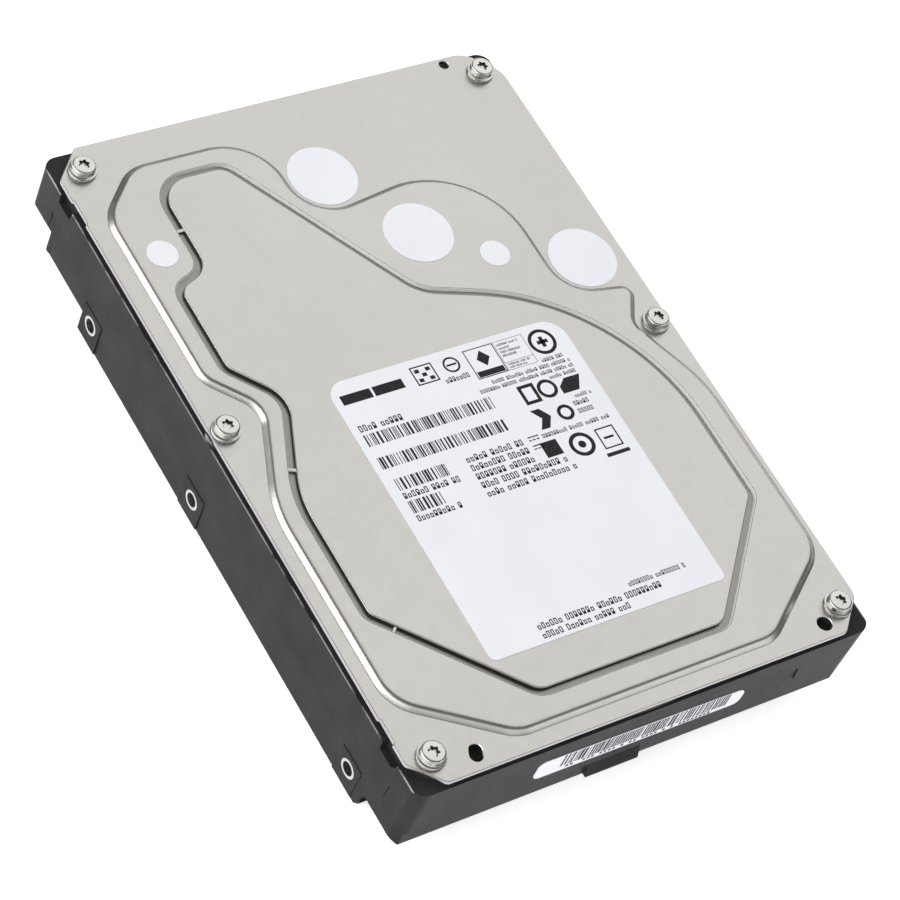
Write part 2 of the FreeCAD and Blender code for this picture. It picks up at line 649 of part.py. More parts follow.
def make_motor_stator():
    x, y = SPINDLE
    sleeve = [(size("shaft_radius") + size("shaft_clearance"), size("sleeve_top")),
              (size("sleeve_radius"), size("sleeve_top")),
              (size("sleeve_radius"), size("motor_well_bottom")), (3.0, size("motor_well_bottom")),
              (3.0, 2.4), (size("shaft_radius") + size("shaft_clearance"), 2.4)]
    keep("bearing_sleeve", turned_body("bearing_sleeve", sleeve, SPINDLE))
    keep("thrust_plate", cylinder("thrust_plate", 3.0, x, y, "Sizes.motor_well_bottom", 0.8))
    height = "Sizes.tooth_top - Sizes.tooth_bottom"
    teeth = 9
    pieces = [ring("stator_yoke", 6.6, "Sizes.stator_boss_radius", x, y, "Sizes.tooth_bottom", height)]
    coils = []
    for index in range(teeth):
        angle = 360.0 / teeth * index
        tooth = box("stator_tooth_%d" % index, 6.0, "-Sizes.tooth_width / 2", "Sizes.tooth_bottom",
                    4.6, "Sizes.tooth_width", height)
        tip = fan("stator_tip_%d" % index, (0.0, 0.0), 10.3, "Sizes.tooth_tip_radius", -14, 14,
                  "Sizes.tooth_bottom", height)
        arm = fuse("stator_arm_%d" % index, [tooth, tip])
        arm.Placement = FreeCAD.Placement(V(x, y, 0), FreeCAD.Rotation(V(0, 0, 1), angle))
        pieces.append(arm)
        outer = box("winding_%d_outer" % index, 6.9, -1.4, "Sizes.tooth_bottom - 1.1",
                    3.1, 2.8, height + " + 2.2")
        inner = box("winding_%d_inner" % index, 6.0, "-Sizes.tooth_width / 2", "Sizes.tooth_bottom",
                    5.0, "Sizes.tooth_width", height)
        winding = cut("winding_%d" % index, outer, inner)
        winding.Placement = FreeCAD.Placement(V(x, y, 0), FreeCAD.Rotation(V(0, 0, 1), angle))
        coils.append(winding)
    keep("stator_core", fuse("stator_core_body", pieces))
    keep("stator_windings", group("stator_windings_group", coils))


def make_rotor():
    """Everything that spins: shaft, hub, magnet, platters, spacers and clamp."""
    x, y = SPINDLE
    keep("spindle_shaft", cylinder("spindle_shaft", "Sizes.shaft_radius", x, y, 2.6,
                                   "Sizes.hub_top - 2.6"))
    hub_radius = size("hub_radius")
    first = size("first_platter")
    skirt_bottom = size("skirt_bottom")
    under = 10.6
    hub = [(size("shaft_radius"), 13.0), (size("shaft_radius"), size("hub_top")),
           (hub_radius, size("hub_top")), (hub_radius, first), (size("hub_flange_radius"), first),
           (size("hub_flange_radius"), 10.1), (size("skirt_outer"), 10.1),
           (size("skirt_outer"), skirt_bottom), (size("skirt_inner"), skirt_bottom),
           (size("skirt_inner"), under), (size("magnet_inner"), under), (size("magnet_inner"), 13.0)]
    body = turned_body("spindle_hub", hub, SPINDLE)
    holes = sketch(body, "clamp_screw_holes", "XY_Plane", "Sizes.hub_top",
                   [[(8.0 * math.cos(a), 8.0 * math.sin(a), 0.95)] for a in clamp_screw_angles()])
    pocket(body, "clamp_screw_bores", holes, 5.0)
    keep("spindle_hub", body)
    keep("rotor_magnet", ring("rotor_magnet", "Sizes.skirt_inner", "Sizes.magnet_inner", x, y,
                              4.4, 6.0))
    pitch = "(Sizes.platter_thickness + Sizes.platter_gap)"
    spacers = []
    for index in range(4):
        level = "Sizes.first_platter + %d * %s" % (index, pitch)
        node = "platter_%d" % (index + 1)
        keep(node, ring(node, "Sizes.platter_radius", "Sizes.platter_bore", x, y, level,
                        "Sizes.platter_thickness"))
        if index < 3:
            spacers.append(ring("platter_spacer_%d" % (index + 1), "Sizes.spacer_radius",
                                "Sizes.platter_bore", x, y, level + " + Sizes.platter_thickness",
                                "Sizes.platter_gap"))
    keep("platter_spacers", group("platter_spacers_group", spacers))
    top = first + 3 * (size("platter_thickness") + size("platter_gap")) + size("platter_thickness")
    clamp_top = size("clamp_top")
    clamp = [(3.4, top + 0.3), (3.4, clamp_top), (size("clamp_radius"), clamp_top),
             (size("clamp_radius"), top), (13.2, top), (13.2, top + 0.3)]
    body = turned_body("platter_clamp", clamp, SPINDLE)
    holes = sketch(body, "clamp_holes_outline", "XY_Plane", "Sizes.clamp_top",
                   [[(8.0 * math.cos(a), 8.0 * math.sin(a), 1.0)] for a in clamp_screw_angles()])
    pocket(body, "clamp_holes", holes, 2.0)
    keep("platter_clamp", body)
    screws = []
    for index, angle in enumerate(clamp_screw_angles()):
        sx = x + 8.0 * math.cos(angle)
        sy = y + 8.0 * math.sin(angle)
        name = "clamp_screw_%d" % (index + 1)
        head = cylinder(name + "_head", 1.7, sx, sy, "Sizes.clamp_top", 0.6)
        shank = cylinder(name + "_shank", 0.9, sx, sy, "Sizes.hub_top - 4.5",
                         "Sizes.clamp_top - Sizes.hub_top + 4.5")
        screws.append(fuse(name, [head, shank]))
    keep("clamp_screws", group("clamp_screws_group", screws))


def clamp_screw_angles():
    return [math.radians(60 * index) for index in range(6)]


# --------------------------------------------------------------------------- head actuator


def arm_levels():
    """Middle heights of the five arms: one in each gap beside a platter."""
    pitch = size("platter_thickness") + size("platter_gap")
    return [size("first_platter") - size("platter_gap") / 2 + pitch * index for index in range(5)]


def make_pivot():
    x, y = PIVOT
    flange = cylinder("pivot_flange", 4.6, x, y, "Sizes.floor_top", 0.4)
    post = cylinder("pivot_post_rod", "Sizes.pivot_post_radius", x, y, "Sizes.floor_top", 13.4)
    stub = cylinder("pivot_stub", 1.5, x, y, "Sizes.floor_top - 1.1", 1.2)
    keep("pivot_post", fuse("pivot_post_body", [flange, post, stub]))
    inner = []
    outer = []
    balls = []
    for level, bottom in (("lower", 10.4), ("upper", 19.4)):
        inner.append(ring("inner_race_" + level, 3.5, "Sizes.pivot_post_radius", x, y, bottom, 2.4))
        outer.append(ring("outer_race_" + level, "Sizes.pivot_sleeve_inner", 5.2, x, y, bottom, 2.4))
        for index in range(9):
            angle = math.radians(40 * index)
            ball = doc.addObject("Part::Sphere", "ball_%s_%d" % (level, index))
            bind(ball, "Radius", 0.75)
            at(ball, x + 4.35 * math.cos(angle), y + 4.35 * math.sin(angle), bottom + 1.2)
            balls.append(ball)
    keep("pivot_inner_races", group("pivot_inner_races_group", inner))
    keep("pivot_outer_races", group("pivot_outer_races_group", outer))
    keep("pivot_bearing_balls", group("pivot_bearing_balls_group", balls))
    keep("pivot_sleeve", ring("pivot_sleeve", "Sizes.pivot_sleeve_outer", "Sizes.pivot_sleeve_inner",
                              x, y, "Sizes.arm_block_bottom", "Sizes.arm_block_top - Sizes.arm_block_bottom"))


def make_arm_block():
    """Comb of five arms on one sleeve, drawn along +X and turned to the parked angle."""
    height = "Sizes.arm_block_top - Sizes.arm_block_bottom"
    pieces = [cylinder("arm_hub", "Sizes.arm_block_radius", 0, 0, "Sizes.arm_block_bottom", height)]
    thickness = size("arm_thickness")
    for index, level in enumerate(arm_levels()):
        arm = [(0.0, -7.6, 0), (14.0, -5.2, 3), (34.0, -2.6, 1.2), (34.0, 2.6, 1.2), (14.0, 5.2, 3),
               (0.0, 7.6, 0)]
        pieces.append(plate("arm_%d" % (index + 1), [arm, [(22.0, 0.0, 1.7)], [(15.5, 0.0, 2.3)]],
                            level - thickness / 2, "Sizes.arm_thickness"))
    comb = fuse("arm_comb", pieces)
    bore = cylinder("arm_bore", "Sizes.pivot_sleeve_outer", 0, 0, 9.0, 14.0)
    block = cut("arm_block_body", comb, bore)
    block.Placement = FreeCAD.Placement(V(*PIVOT_3D), FreeCAD.Rotation(V(0, 0, 1), PARK))
    keep("arm_block", block)


def make_heads():
    """Eight load beams with lift tabs and eight sliders, one pair for each platter."""
    beams = []
    sliders = []
    head = size("head_distance")
    half = size("arm_thickness") / 2
    beam_thickness = size("beam_thickness")
    turn = FreeCAD.Placement(V(*PIVOT_3D), FreeCAD.Rotation(V(0, 0, 1), PARK))
    for index, level in enumerate(arm_levels()):
        for side in (-1, 1):
            if (index == 0 and side < 0) or (index == 4 and side > 0):
                continue
            word = "%d_%s" % (index + 1, "down" if side < 0 else "up")
            bottom = level + half if side > 0 else level - half - beam_thickness
            shape = [(28.6, -2.3, 0.6), (34.0, -2.3, 0.6), (48.5, -0.9, 0.6), (54.4, -0.35, 0.2),
                     (54.4, 0.35, 0.2), (48.5, 0.9, 0.6), (34.0, 2.3, 0.6), (28.6, 2.3, 0.6)]
            beam = plate("load_beam_" + word, [shape], bottom, "Sizes.beam_thickness")
            beam.Placement = turn
            beams.append(beam)
            slider_bottom = bottom + beam_thickness if side > 0 else bottom - size("slider_thickness")
            spot = FreeCAD.Placement(V(head - 0.6, -0.5, slider_bottom), FreeCAD.Rotation())
            sliders.append(placed_box("slider_" + word, 1.2, 1.0, "Sizes.slider_thickness",
                                      turn.multiply(spot)))
    keep("head_suspensions", group("head_suspensions_group", beams))
    keep("head_sliders", group("head_sliders_group", sliders))


def make_voice_coil():
    """Flat coil in a moulded frame behind the pivot."""
    middle = PARK - 180
    half_coil = size("coil_half_angle")
    half_frame = size("frame_half_angle")
    bottom = "Sizes.coil_bottom"
    height = "Sizes.coil_top - Sizes.coil_bottom"
    outer = fan("coil_blank", PIVOT, "Sizes.coil_inner", "Sizes.coil_outer", middle - half_coil,
                middle + half_coil, bottom, height)
    inner = fan("coil_window", PIVOT, 18.6, 29.4, middle - 8.0, middle + 8.0, bottom, height)
    keep("voice_coil", cut("voice_coil_body", outer, inner))
    core = fan("coil_core", PIVOT, 18.6, 29.4, middle - 8.0, middle + 8.0, bottom, height)
    blank = fan("frame_blank", PIVOT, "Sizes.arm_block_radius", "Sizes.frame_outer",
                middle - half_frame, middle + half_frame, bottom, height)
    nose = fan("frame_nose", PIVOT, 34.0, 36.2, middle + half_frame - 2.0, middle + half_frame,
               bottom, height)
    window = fan("frame_window", PIVOT, "Sizes.coil_inner", "Sizes.coil_outer", middle - half_coil,
                 middle + half_coil, bottom, height)
    rim = cut("coil_frame_rim", fuse("frame_solid", [blank, nose]), window)
    keep("coil_frame", group("coil_frame_group", [rim, core]))


def make_voice_coil_magnets():
    """Two steel plates with a magnet each, held apart by three posts."""
    corners = [(25.0, 29.5, 2), (47.0, 29.5, 2), (47.0, 60.0, 2), (39.2, 62.2, 2), (39.2, 69.8, 2),
               (9.5, 69.8, 2), (9.5, 47.0, 2), (21.0, 40.0, 2)]
    for node, bottom, height in (
            ("lower_yoke", "Sizes.floor_top", "Sizes.yoke_bottom_top - Sizes.floor_top"),
            ("upper_yoke", "Sizes.yoke_top_bottom", "Sizes.yoke_top_top - Sizes.yoke_top_bottom")):
        blank = plate(node + "_blank", [corners], bottom, height)
        clear = cylinder(node + "_clearance", 12.6, PIVOT[0], PIVOT[1], bottom, height)
        keep(node, cut(node + "_body", blank, clear))
    magnets = []
    for name, bottom in (("lower_magnet", "Sizes.yoke_bottom_top"),
                         ("upper_magnet", "Sizes.yoke_top_bottom - Sizes.magnet_thickness")):
        magnets.append(fan(name, PIVOT, 15.5, 33.0, 8.5, 77.5, bottom, "Sizes.magnet_thickness"))
    keep("coil_magnets", group("coil_magnets_group", magnets))
    posts = []
    for index, (angle, reach) in enumerate(((-3.0, 33.0), (42.7, 38.3), (86.0, 33.0))):
        spot = math.radians(angle)
        posts.append(cylinder("yoke_post_%d" % (index + 1), "Sizes.post_radius",
                              PIVOT[0] + reach * math.cos(spot), PIVOT[1] + reach * math.sin(spot),
                              "Sizes.yoke_bottom_top", "Sizes.yoke_top_bottom - Sizes.yoke_bottom_top"))
    keep("yoke_posts", group("yoke_posts_group", posts))
    stops = []
    for index, angle in enumerate((2.4, 82.9)):
        spot = math.radians(angle)
        stops.append(cylinder("crash_stop_%d" % (index + 1), 1.6, PIVOT[0] + 24 * math.cos(spot),
                              PIVOT[1] + 24 * math.sin(spot), "Sizes.yoke_bottom_top", 6.2))
    keep("crash_stops", group("crash_stops_group", stops))


LATCH_PIN = (31.0, 67.0)


def make_latch():
    """Small swinging hook that can hold the coil frame's nose when the drive is knocked."""
    open_angle = 12.0
    lever_line = math.degrees(math.atan2(60.9 - LATCH_PIN[1], 35.3 - LATCH_PIN[0]))
    pin = cylinder("latch_pin", 0.8, LATCH_PIN[0], LATCH_PIN[1], "Sizes.yoke_bottom_top", 5.8)
    keep("latch_pin", pin)
    eye = cylinder("latch_eye", 1.75, 0, 0, 14.6, 3.0)
    lever = box("latch_lever", 0.0, -0.3, 14.6, 7.6, 1.1, 3.0)
    hook = box("latch_hook", 6.6, -1.3, 14.6, 1.0, 1.6, 3.0)
    solid = fuse("latch_solid", [eye, lever, hook])
    bored = cut("latch_body", solid, cylinder("latch_bore", 0.85, 0, 0, 14.0, 4.0))
    bored.Placement = FreeCAD.Placement(V(LATCH_PIN[0], LATCH_PIN[1], 0),
                                        FreeCAD.Rotation(V(0, 0, 1), lever_line + open_angle))
    keep("actuator_latch", bored)


def make_load_ramp():
    """Comb beside the platters that the lift tabs rest on when the heads are parked."""
    pitch = size("platter_thickness") + size("platter_gap")
    pieces = [box("ramp_spine", 54.9, -3.6, "Sizes.floor_top", 2.0, 7.2, 12.6)]
    for index in range(4):
        bottom = size("first_platter") + pitch * index - 0.2
        pieces.append(box("ramp_fin_%d" % (index + 1), 52.6, -2.2, bottom, 2.6, 4.4, 1.4))
    ramp = fuse("load_ramp_body", pieces)
    ramp.Placement = FreeCAD.Placement(V(*PIVOT_3D), FreeCAD.Rotation(V(0, 0, 1), PARK))
    keep("load_ramp", ramp)


def make_flex_and_filters():
    """Flex circuit with its bracket, air filters and drying pack."""
    path = [(-9.0, 49.0), (-7.0, 42.5), (-2.5, 40.2), (1.5, 43.6), (6.2, 41.7)]
    ribbon = 0.2
    left = []
    right = []
    for index, (x, y) in enumerate(path):
        x0, y0 = path[max(index - 1, 0)]
        x1, y1 = path[min(index + 1, len(path) - 1)]
        across = V(y0 - y1, x1 - x0, 0).normalize() * (ribbon / 2)
        left.append((x + across.x, y + across.y, 1.2 if 0 < index < len(path) - 1 else 0))
        right.append((x - across.x, y - across.y, 1.2 if 0 < index < len(path) - 1 else 0))
    keep("flex_cable", plate("flex_cable", [right + left[::-1]], 13.2, 6.0))
    keep("flex_bracket", plate("flex_bracket", [[(-24, 49.2, 1), (-7.0, 49.2, 1), (-7.0, 59.0, 1),
                                                 (-24, 59.0, 1)]], "Sizes.floor_top", 3.4))
    keep("preamp_chip", box("preamp_chip", -14.0, 52.0, 12.8, 5.0, 4.0, 0.8))
    turn = FreeCAD.Placement(V(42.0, 17.5, size("floor_top")), FreeCAD.Rotation(V(0, 0, 1), -20))
    corner = FreeCAD.Placement(V(-1.9, -5.0, 0), FreeCAD.Rotation())
    keep("recirculation_filter", placed_box("recirculation_filter", 3.8, 10.0, 10.0,
                                            turn.multiply(corner)))
    keep("breather_filter", cylinder("breather_filter", 6.0, -33.5, 57.0, "Sizes.floor_top", 3.2))
    keep("desiccant_pack", plate("desiccant_pack", [[(-45.0, 32.0, 1.5), (-33.0, 32.0, 1.5),
                                                     (-33.0, 46.0, 1.5), (-45.0, 46.0, 1.5)]],
                                 "Sizes.floor_top", 6.0))


# --------------------------------------------------------------------------- circuit board


def make_circuit_board():
    half = size("board_half_width")
    near = size("board_near")
    far = size("board_far")
    left = size("connector_centre") - size("connector_half_width") - 0.2
    right = size("connector_centre") + size("connector_half_width") + 0.2
    shelf = FAR - size("connector_depth") - 0.1
    outline = [(-half, near, 1.0), (half, near, 1.0), (half, far, 1.0), (right, far, 0.5),
               (right, shelf, 0.5), (left, shelf, 0.5), (left, far, 0.5), (-half, far, 1.0)]
    holes = [[(x, y, 1.15)] for x, y in BOARD_SCREWS]
    board = plate("circuit_board", [outline] + holes, "Sizes.board_bottom", "Sizes.board_thickness")
    notch = sketch(board, "motor_notch_outline", "XY_Plane",
                   "Sizes.board_bottom + Sizes.board_thickness",
                   [[SPINDLE + (size("motor_well_outer") + 2.0,)]])
    pocket(board, "motor_notch", notch, "Sizes.board_thickness")
    keep("circuit_board", board)
    window = [[(x, y, 2.7)] for x, y in BOARD_SCREWS]
    sheet_outline = [(-42.2, 0.0, 2), (42.2, 0.0, 2), (42.2, 62.0, 2), (-42.2, 62.0, 2)]
    posts = [spot for spot in window if 0.0 < spot[0][1] < 60.0]
    keep("board_insulator", plate("board_insulator", [sheet_outline] + posts,
                                  "Sizes.floor_bottom - Sizes.insulator_thickness",
                                  "Sizes.insulator_thickness"))
    screws = []
    for index, (x, y) in enumerate(BOARD_SCREWS):
        name = "board_screw_%d" % (index + 1)
        head = cylinder(name + "_head", 2.1, x, y, "Sizes.board_bottom - 0.9", 0.9)
        shank = cylinder(name + "_shank", "Sizes.board_screw_radius", x, y, "Sizes.board_bottom", 5.0)
        socket = cylinder(name + "_socket", 0.9, x, y, "Sizes.board_bottom - 1.2", 0.9)
        screws.append(cut(name, fuse(name + "_solid", [head, shank]), socket))
    keep("board_screws", group("board_screws_group", screws))


def make_board_parts():
    """Parts on the board's inner face."""
    face = "Sizes.board_bottom + Sizes.board_thickness"
    for node, x, y, length, width, height in (
            ("controller_chip", -14.0, 30.0, 14.0, 14.0, 1.3),
            ("motor_driver_chip", 12.0, 8.0, 10.0, 10.0, 1.1),
            ("memory_chip", -32.0, 34.0, 11.0, 8.0, 1.1),
            ("head_connector", -20.0, 52.0, 16.0, 4.0, 4.0)):
        keep(node, box(node, x, y, face, length, width, height))
    capacitors = []
    for index in range(6):
        capacitors.append(box("capacitor_%d" % (index + 1), 26.0 + 4.2 * (index % 3),
                              30.0 + 6.0 * (index // 3), face, 3.2, 4.0, 1.9))
    keep("capacitors", group("capacitors_group", capacitors))
    pads = []
    for index in range(4):
        pads.append(box("motor_contact_%d" % (index + 1), -4.6 + 2.5 * index, -3.2, face, 1.4, 3.2, 2.2))
    keep("motor_contacts", group("motor_contacts_group", pads))


def make_connector():
    """Combined data and power plug: one shell with two L-shaped tongues and 22 contacts."""
    centre = size("connector_centre")
    half = size("connector_half_width")
    back = FAR - size("connector_depth")
    shell = box("connector_shell", centre - half, back, "Sizes.connector_bottom", 2 * half,
                "Sizes.connector_depth", "Sizes.connector_top - Sizes.connector_bottom")
    mouth = box("connector_mouth", centre - 19.2, FAR - 6.4, 2.1, 38.4, 7.0, 4.2)
    shell_cut = cut("connector_shell_open", shell, mouth)
    pitch = size("contact_pitch")
    power = centre - 3.6
    data = centre - 16.4
    tongues = []
    for name, start, pins in (("data", data, 7), ("power", power, 15)):
        width = pitch * (pins - 1) + 2.2
        tongues.append(box(name + "_tongue", start, FAR - 6.6, 3.6, width, 5.9, 1.2))
        tongues.append(box(name + "_key", start, FAR - 6.6, 2.5, 0.9, 5.9, 2.3))
    keep("sata_connector", fuse("sata_connector_body", [shell_cut] + tongues))
    contacts = []
    for name, start, pins in (("data", data, 7), ("power", power, 15)):
        for index in range(pins):
            contacts.append(box("%s_contact_%d" % (name, index + 1),
                                start + 1.3 + pitch * index - 0.3, FAR - 6.4, 3.45, 0.6, 5.4, 0.15))
    keep("sata_contacts", group("sata_contacts_group", contacts))
    header = box("header_block", -16.0, 70.7, 1.6, 9.4, 2.4, 2.8)
    pins = []
    holes = []
    for index in range(4):
        x = -15.1 + 2.0 * index
        pins.append(box("header_pin_%d" % (index + 1), x, 69.9, 2.9, 0.5, 3.5, 0.5))
        holes.append(box("header_hole_%d" % (index + 1), x, 69.0, 2.9, 0.5, 5.0, 0.5))
    keep("service_header", cut("service_header_body", header, fuse("header_holes", holes)))
    keep("service_pins", group("service_pins_group", pins))


# --------------------------------------------------------------------------- assembly
make_base_casting()
make_top_cover()
make_cover_gasket()
make_damper_plate()
make_labels()
make_cover_screws()
make_motor_stator()
make_rotor()
make_pivot()
make_arm_block()
make_heads()
make_voice_coil()
make_voice_coil_magnets()
make_latch()
make_load_ramp()
make_flex_and_filters()
make_circuit_board()
make_board_parts()
make_connector()
doc.recompute()

problems = []
for item in doc.Objects:
    if "Invalid" in item.State or "Error" in item.State:
        problems.append("%s is %s" % (item.Name, item.State))
for node, feature in nodes.items():
    if feature.Shape.isNull() or not feature.Shape.isValid():
        problems.append("%s has no valid shape" % node)
if problems:
    raise RuntimeError("; ".join(problems))
for node, feature in nodes.items():
    feature.Shape.exportStep("parts/%s.step" % node)
    print(node, len(feature.Shape.Solids), round(feature.Shape.Volume, 2))
print(len(nodes), "nodes")
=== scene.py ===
"""Looks for the hard disk drive: detailed cover, screws, label print, materials, light and camera.

Lengths in the meshes are millimetres in the drive's own frame and are scaled to metres once,
where vertices are made. The materials, the lights and the camera are set in metres.
"""
import json
import math
import random

import bmesh
import bpy
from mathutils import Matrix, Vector
from mathutils.geometry import tessellate_polygon


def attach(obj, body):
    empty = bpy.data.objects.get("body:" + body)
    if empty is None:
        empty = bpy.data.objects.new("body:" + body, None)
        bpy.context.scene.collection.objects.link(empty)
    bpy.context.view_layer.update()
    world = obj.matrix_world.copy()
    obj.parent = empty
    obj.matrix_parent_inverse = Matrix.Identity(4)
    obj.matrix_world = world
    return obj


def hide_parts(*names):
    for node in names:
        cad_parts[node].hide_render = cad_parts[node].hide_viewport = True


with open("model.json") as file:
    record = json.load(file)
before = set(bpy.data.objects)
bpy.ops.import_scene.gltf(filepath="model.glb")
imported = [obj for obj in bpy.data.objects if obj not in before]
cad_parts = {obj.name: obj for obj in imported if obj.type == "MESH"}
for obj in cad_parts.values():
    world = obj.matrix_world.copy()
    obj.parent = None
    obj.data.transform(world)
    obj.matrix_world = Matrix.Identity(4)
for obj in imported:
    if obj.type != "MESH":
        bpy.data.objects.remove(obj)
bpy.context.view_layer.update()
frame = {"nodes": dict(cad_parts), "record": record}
MM = 0.001

# heights of the cover stack
SHEET_BOTTOM = 23.2
FLANGE_TOP = 24.0
PLATEAU_TOP = 25.0
RECESS_FLOOR = 24.25
DAMPER_TOP = 25.1
LABEL_TOP = 25.2
SCREW_TOP = 26.1
# the narrow level band beside each rounding, so that the large flat faces are shaded flat
RIM = 0.1
# holes in the cover: places of the screws, then x, y, radius, then x, y, width, length, angle
SCREWS = [(-45.3, 67.3), (45.3, 67.3), (-47.3, 5.4), (47.0, 1.1), (-45.3, -67.0), (45.3, -67.0)]
SCREW_HOLE = 1.25
TOOLING_HOLES = [(38.9, 71.2, 1.0), (40.7, -69.4, 1.5)]
SLOT_HOLE = (-37.1, -69.1, 2.5, 3.5, 66.0)
# the tray: the level of the field in its plain end, its mounting holes, and the spindle
END_FACE = -72.55
SIDE_HOLES_Y = (45.0, 3.39, -56.6)
SIDE_HOLE_Z = 6.35
BOTTOM_HOLES = [(side * 47.625, y) for side in (-1, 1) for y in (32.22, -12.23, -43.98)]
SPINDLE_Y = -23.0

# the place of each look in a piece's own list of materials: the plain material, painted shade,
# painted highlight, painted shade of the sunk field's floor, and painted light on the sunk field's
# wall
MAIN, PAINTED_SHADE, HIGHLIGHT, SUNK_SHADE, LIT_WALL = range(5)

# ------------------------------------------------------------------ outlines
# An outline is a list of corners, anticlockwise: x, y and the radius of the rounding there.

ARC_STEPS = 14


def arc_corners(centre, radius, start, end, count):
    """Corners whose roundings join into one arc about centre, from start to end in degrees."""
    step = (end - start) / count
    reach = radius / math.cos(math.radians(step / 2))
    corners = []
    for index in range(count):
        angle = math.radians(start + step * (index + 0.5))
        corners.append((centre[0] + reach * math.cos(angle), centre[1] + reach * math.sin(angle),
                        radius))
    return corners


def tangent_crossing(centre, radius, degrees, x):
    """Height y at which the tangent to a circle, at the given angle, crosses the line x."""
    angle = math.radians(degrees)
    touch_x = centre[0] + radius * math.cos(angle)
    touch_y = centre[1] + radius * math.sin(angle)
    return touch_y - (x - touch_x) / math.tan(angle)


def plateau_outline():
    """Foot of the raised middle of the cover."""
    return [(-47.65, -55.6, 9.5), (-28.3, -69.4, 9), (29.3, -69.4, 9), (49.2, -55.6, 9),
            (49.2, -14.5, 30), (42.5, 1.8, 3.5), (47.9, 10.4, 2.4), (33.2, 13.1, 7.6),
            (33.0, 49.4, 18.5), (-7.7, 43.7, 8), (-8.0, 65.5, 11.5), (-36.6, 65.5, 9),
            (-46.7, 55.8, 10), (-46.7, 16.4, 6), (-39.0, 7.3, 5.5), (-47.65, -12.8, 28)]


def recess_outline():
    """Sunk field in the plateau: an arc around the disks, then the actuator's end."""
    centre = (0.5, -21.8)
    radius = 42.9
    arc_end = 70
    shoulder_x = 4.4
    corners = [(-43.2, -38.8, 4), (-20.6, -64.1, 5.5), (21.6, -64.1, 5.5), (43.4, -40.9, 4)]
    corners += arc_corners(centre, radius, 0, arc_end, 2)
    corners += [(shoulder_x, tangent_crossing(centre, radius, arc_end, shoulder_x), 9),
                (-18.2, 61.0, 5), (-34.9, 61.0, 7.5), (-34.9, 39.6, 4), (-42.2, 37.0, 4.5),
                (-42.2, 16.9, 4.5), (-34.5, 7.6, 5.5), (-43.2, -12, 26)]
    return corners


def cover_outline():
    """Outer edge of the cover, with two shallow notches in its left side."""
    half = 50.3
    near = -72.5
    far = 72.9
    notch = 0.35
    right = [(44.0, near, 1.5), (half, -66.2, 3.0), (half, 66.5, 6.0), (44.4, far, 6.0)]
    left = [(-44.2, far, 1.5), (-half, 66.6, 1.5)]
    for high, low in ((61.5, 55.5), (-57.0, -62.5)):
        left += [(-half, high, 0.0), (-half + notch, high - notch, 0.0),
                 (-half + notch, low + notch, 0.0), (-half, low, 0.0)]
    left += [(-half, -66.7, 1.5), (-44.8, near, 1.5)]
    return right + left


def slot_outline(x, y, width, length, degrees):
    """A slot with round ends, its length turned by an angle from the X axis."""
    turn = Vector((math.cos(math.radians(degrees)), math.sin(math.radians(degrees))))
    along = turn * (length / 2)
    across = Vector((-turn.y, turn.x)) * (width / 2)
    corners = [-along - across, along - across, along + across, -along + across]
    return [(x + corner.x, y + corner.y, width / 2) for corner in corners]


def offset_points(outline, distance):
    """Points along the outline moved outwards by distance (inwards if negative)."""
    least_radius = 0.05
    count = len(outline)
    moved = []
    for index, (x, y, radius) in enumerate(outline):
        here = Vector((x, y))
        before = (here - Vector(outline[index - 1][:2])).normalized()
        after = (Vector(outline[(index + 1) % count][:2]) - here).normalized()
        turn = before.x * after.y - before.y * after.x
        scale = distance / (1 + before.dot(after))
        normal = Vector((before.y + after.y, -before.x - after.x))
        new_radius = 0.0
        if radius > 0:
            new_radius = max(radius + (distance if turn > 0 else -distance), least_radius)
        moved.append((here + normal * scale, new_radius))
    points = []
    for index, (here, radius) in enumerate(moved):
        points += corner_points(moved[index - 1][0], here, moved[(index + 1) % count][0], radius)
    return points


def corner_points(previous, here, following, radius):
    """The corner itself where it is sharp, else points along its rounding."""
    if radius <= 0:
        return [here]
    back = (previous - here).normalized()
    ahead = (following - here).normalized()
    half = back.angle(ahead) / 2
    centre = here + (back + ahead).normalized() * (radius / math.sin(half))
    first = here + back * (radius / math.tan(half)) - centre
    last = here + ahead * (radius / math.tan(half)) - centre
    sweep = math.atan2(first.x * last.y - first.y * last.x, first.dot(last))
    points = []
    for index in range(ARC_STEPS + 1):
        angle = sweep * index / ARC_STEPS
        cosine = math.cos(angle)
        sine = math.sin(angle)
        points.append(centre + Vector((first.x * cosine - first.y * sine,
                                       first.x * sine + first.y * cosine)))
    return points


def circle_points(x, y, radius, count=48):
    angles = [2 * math.pi * index / count for index in range(count)]
    return [Vector((x + radius * math.cos(angle), y + radius * math.sin(angle))) for angle in angles]


# ------------------------------------------------------------------ mesh helper


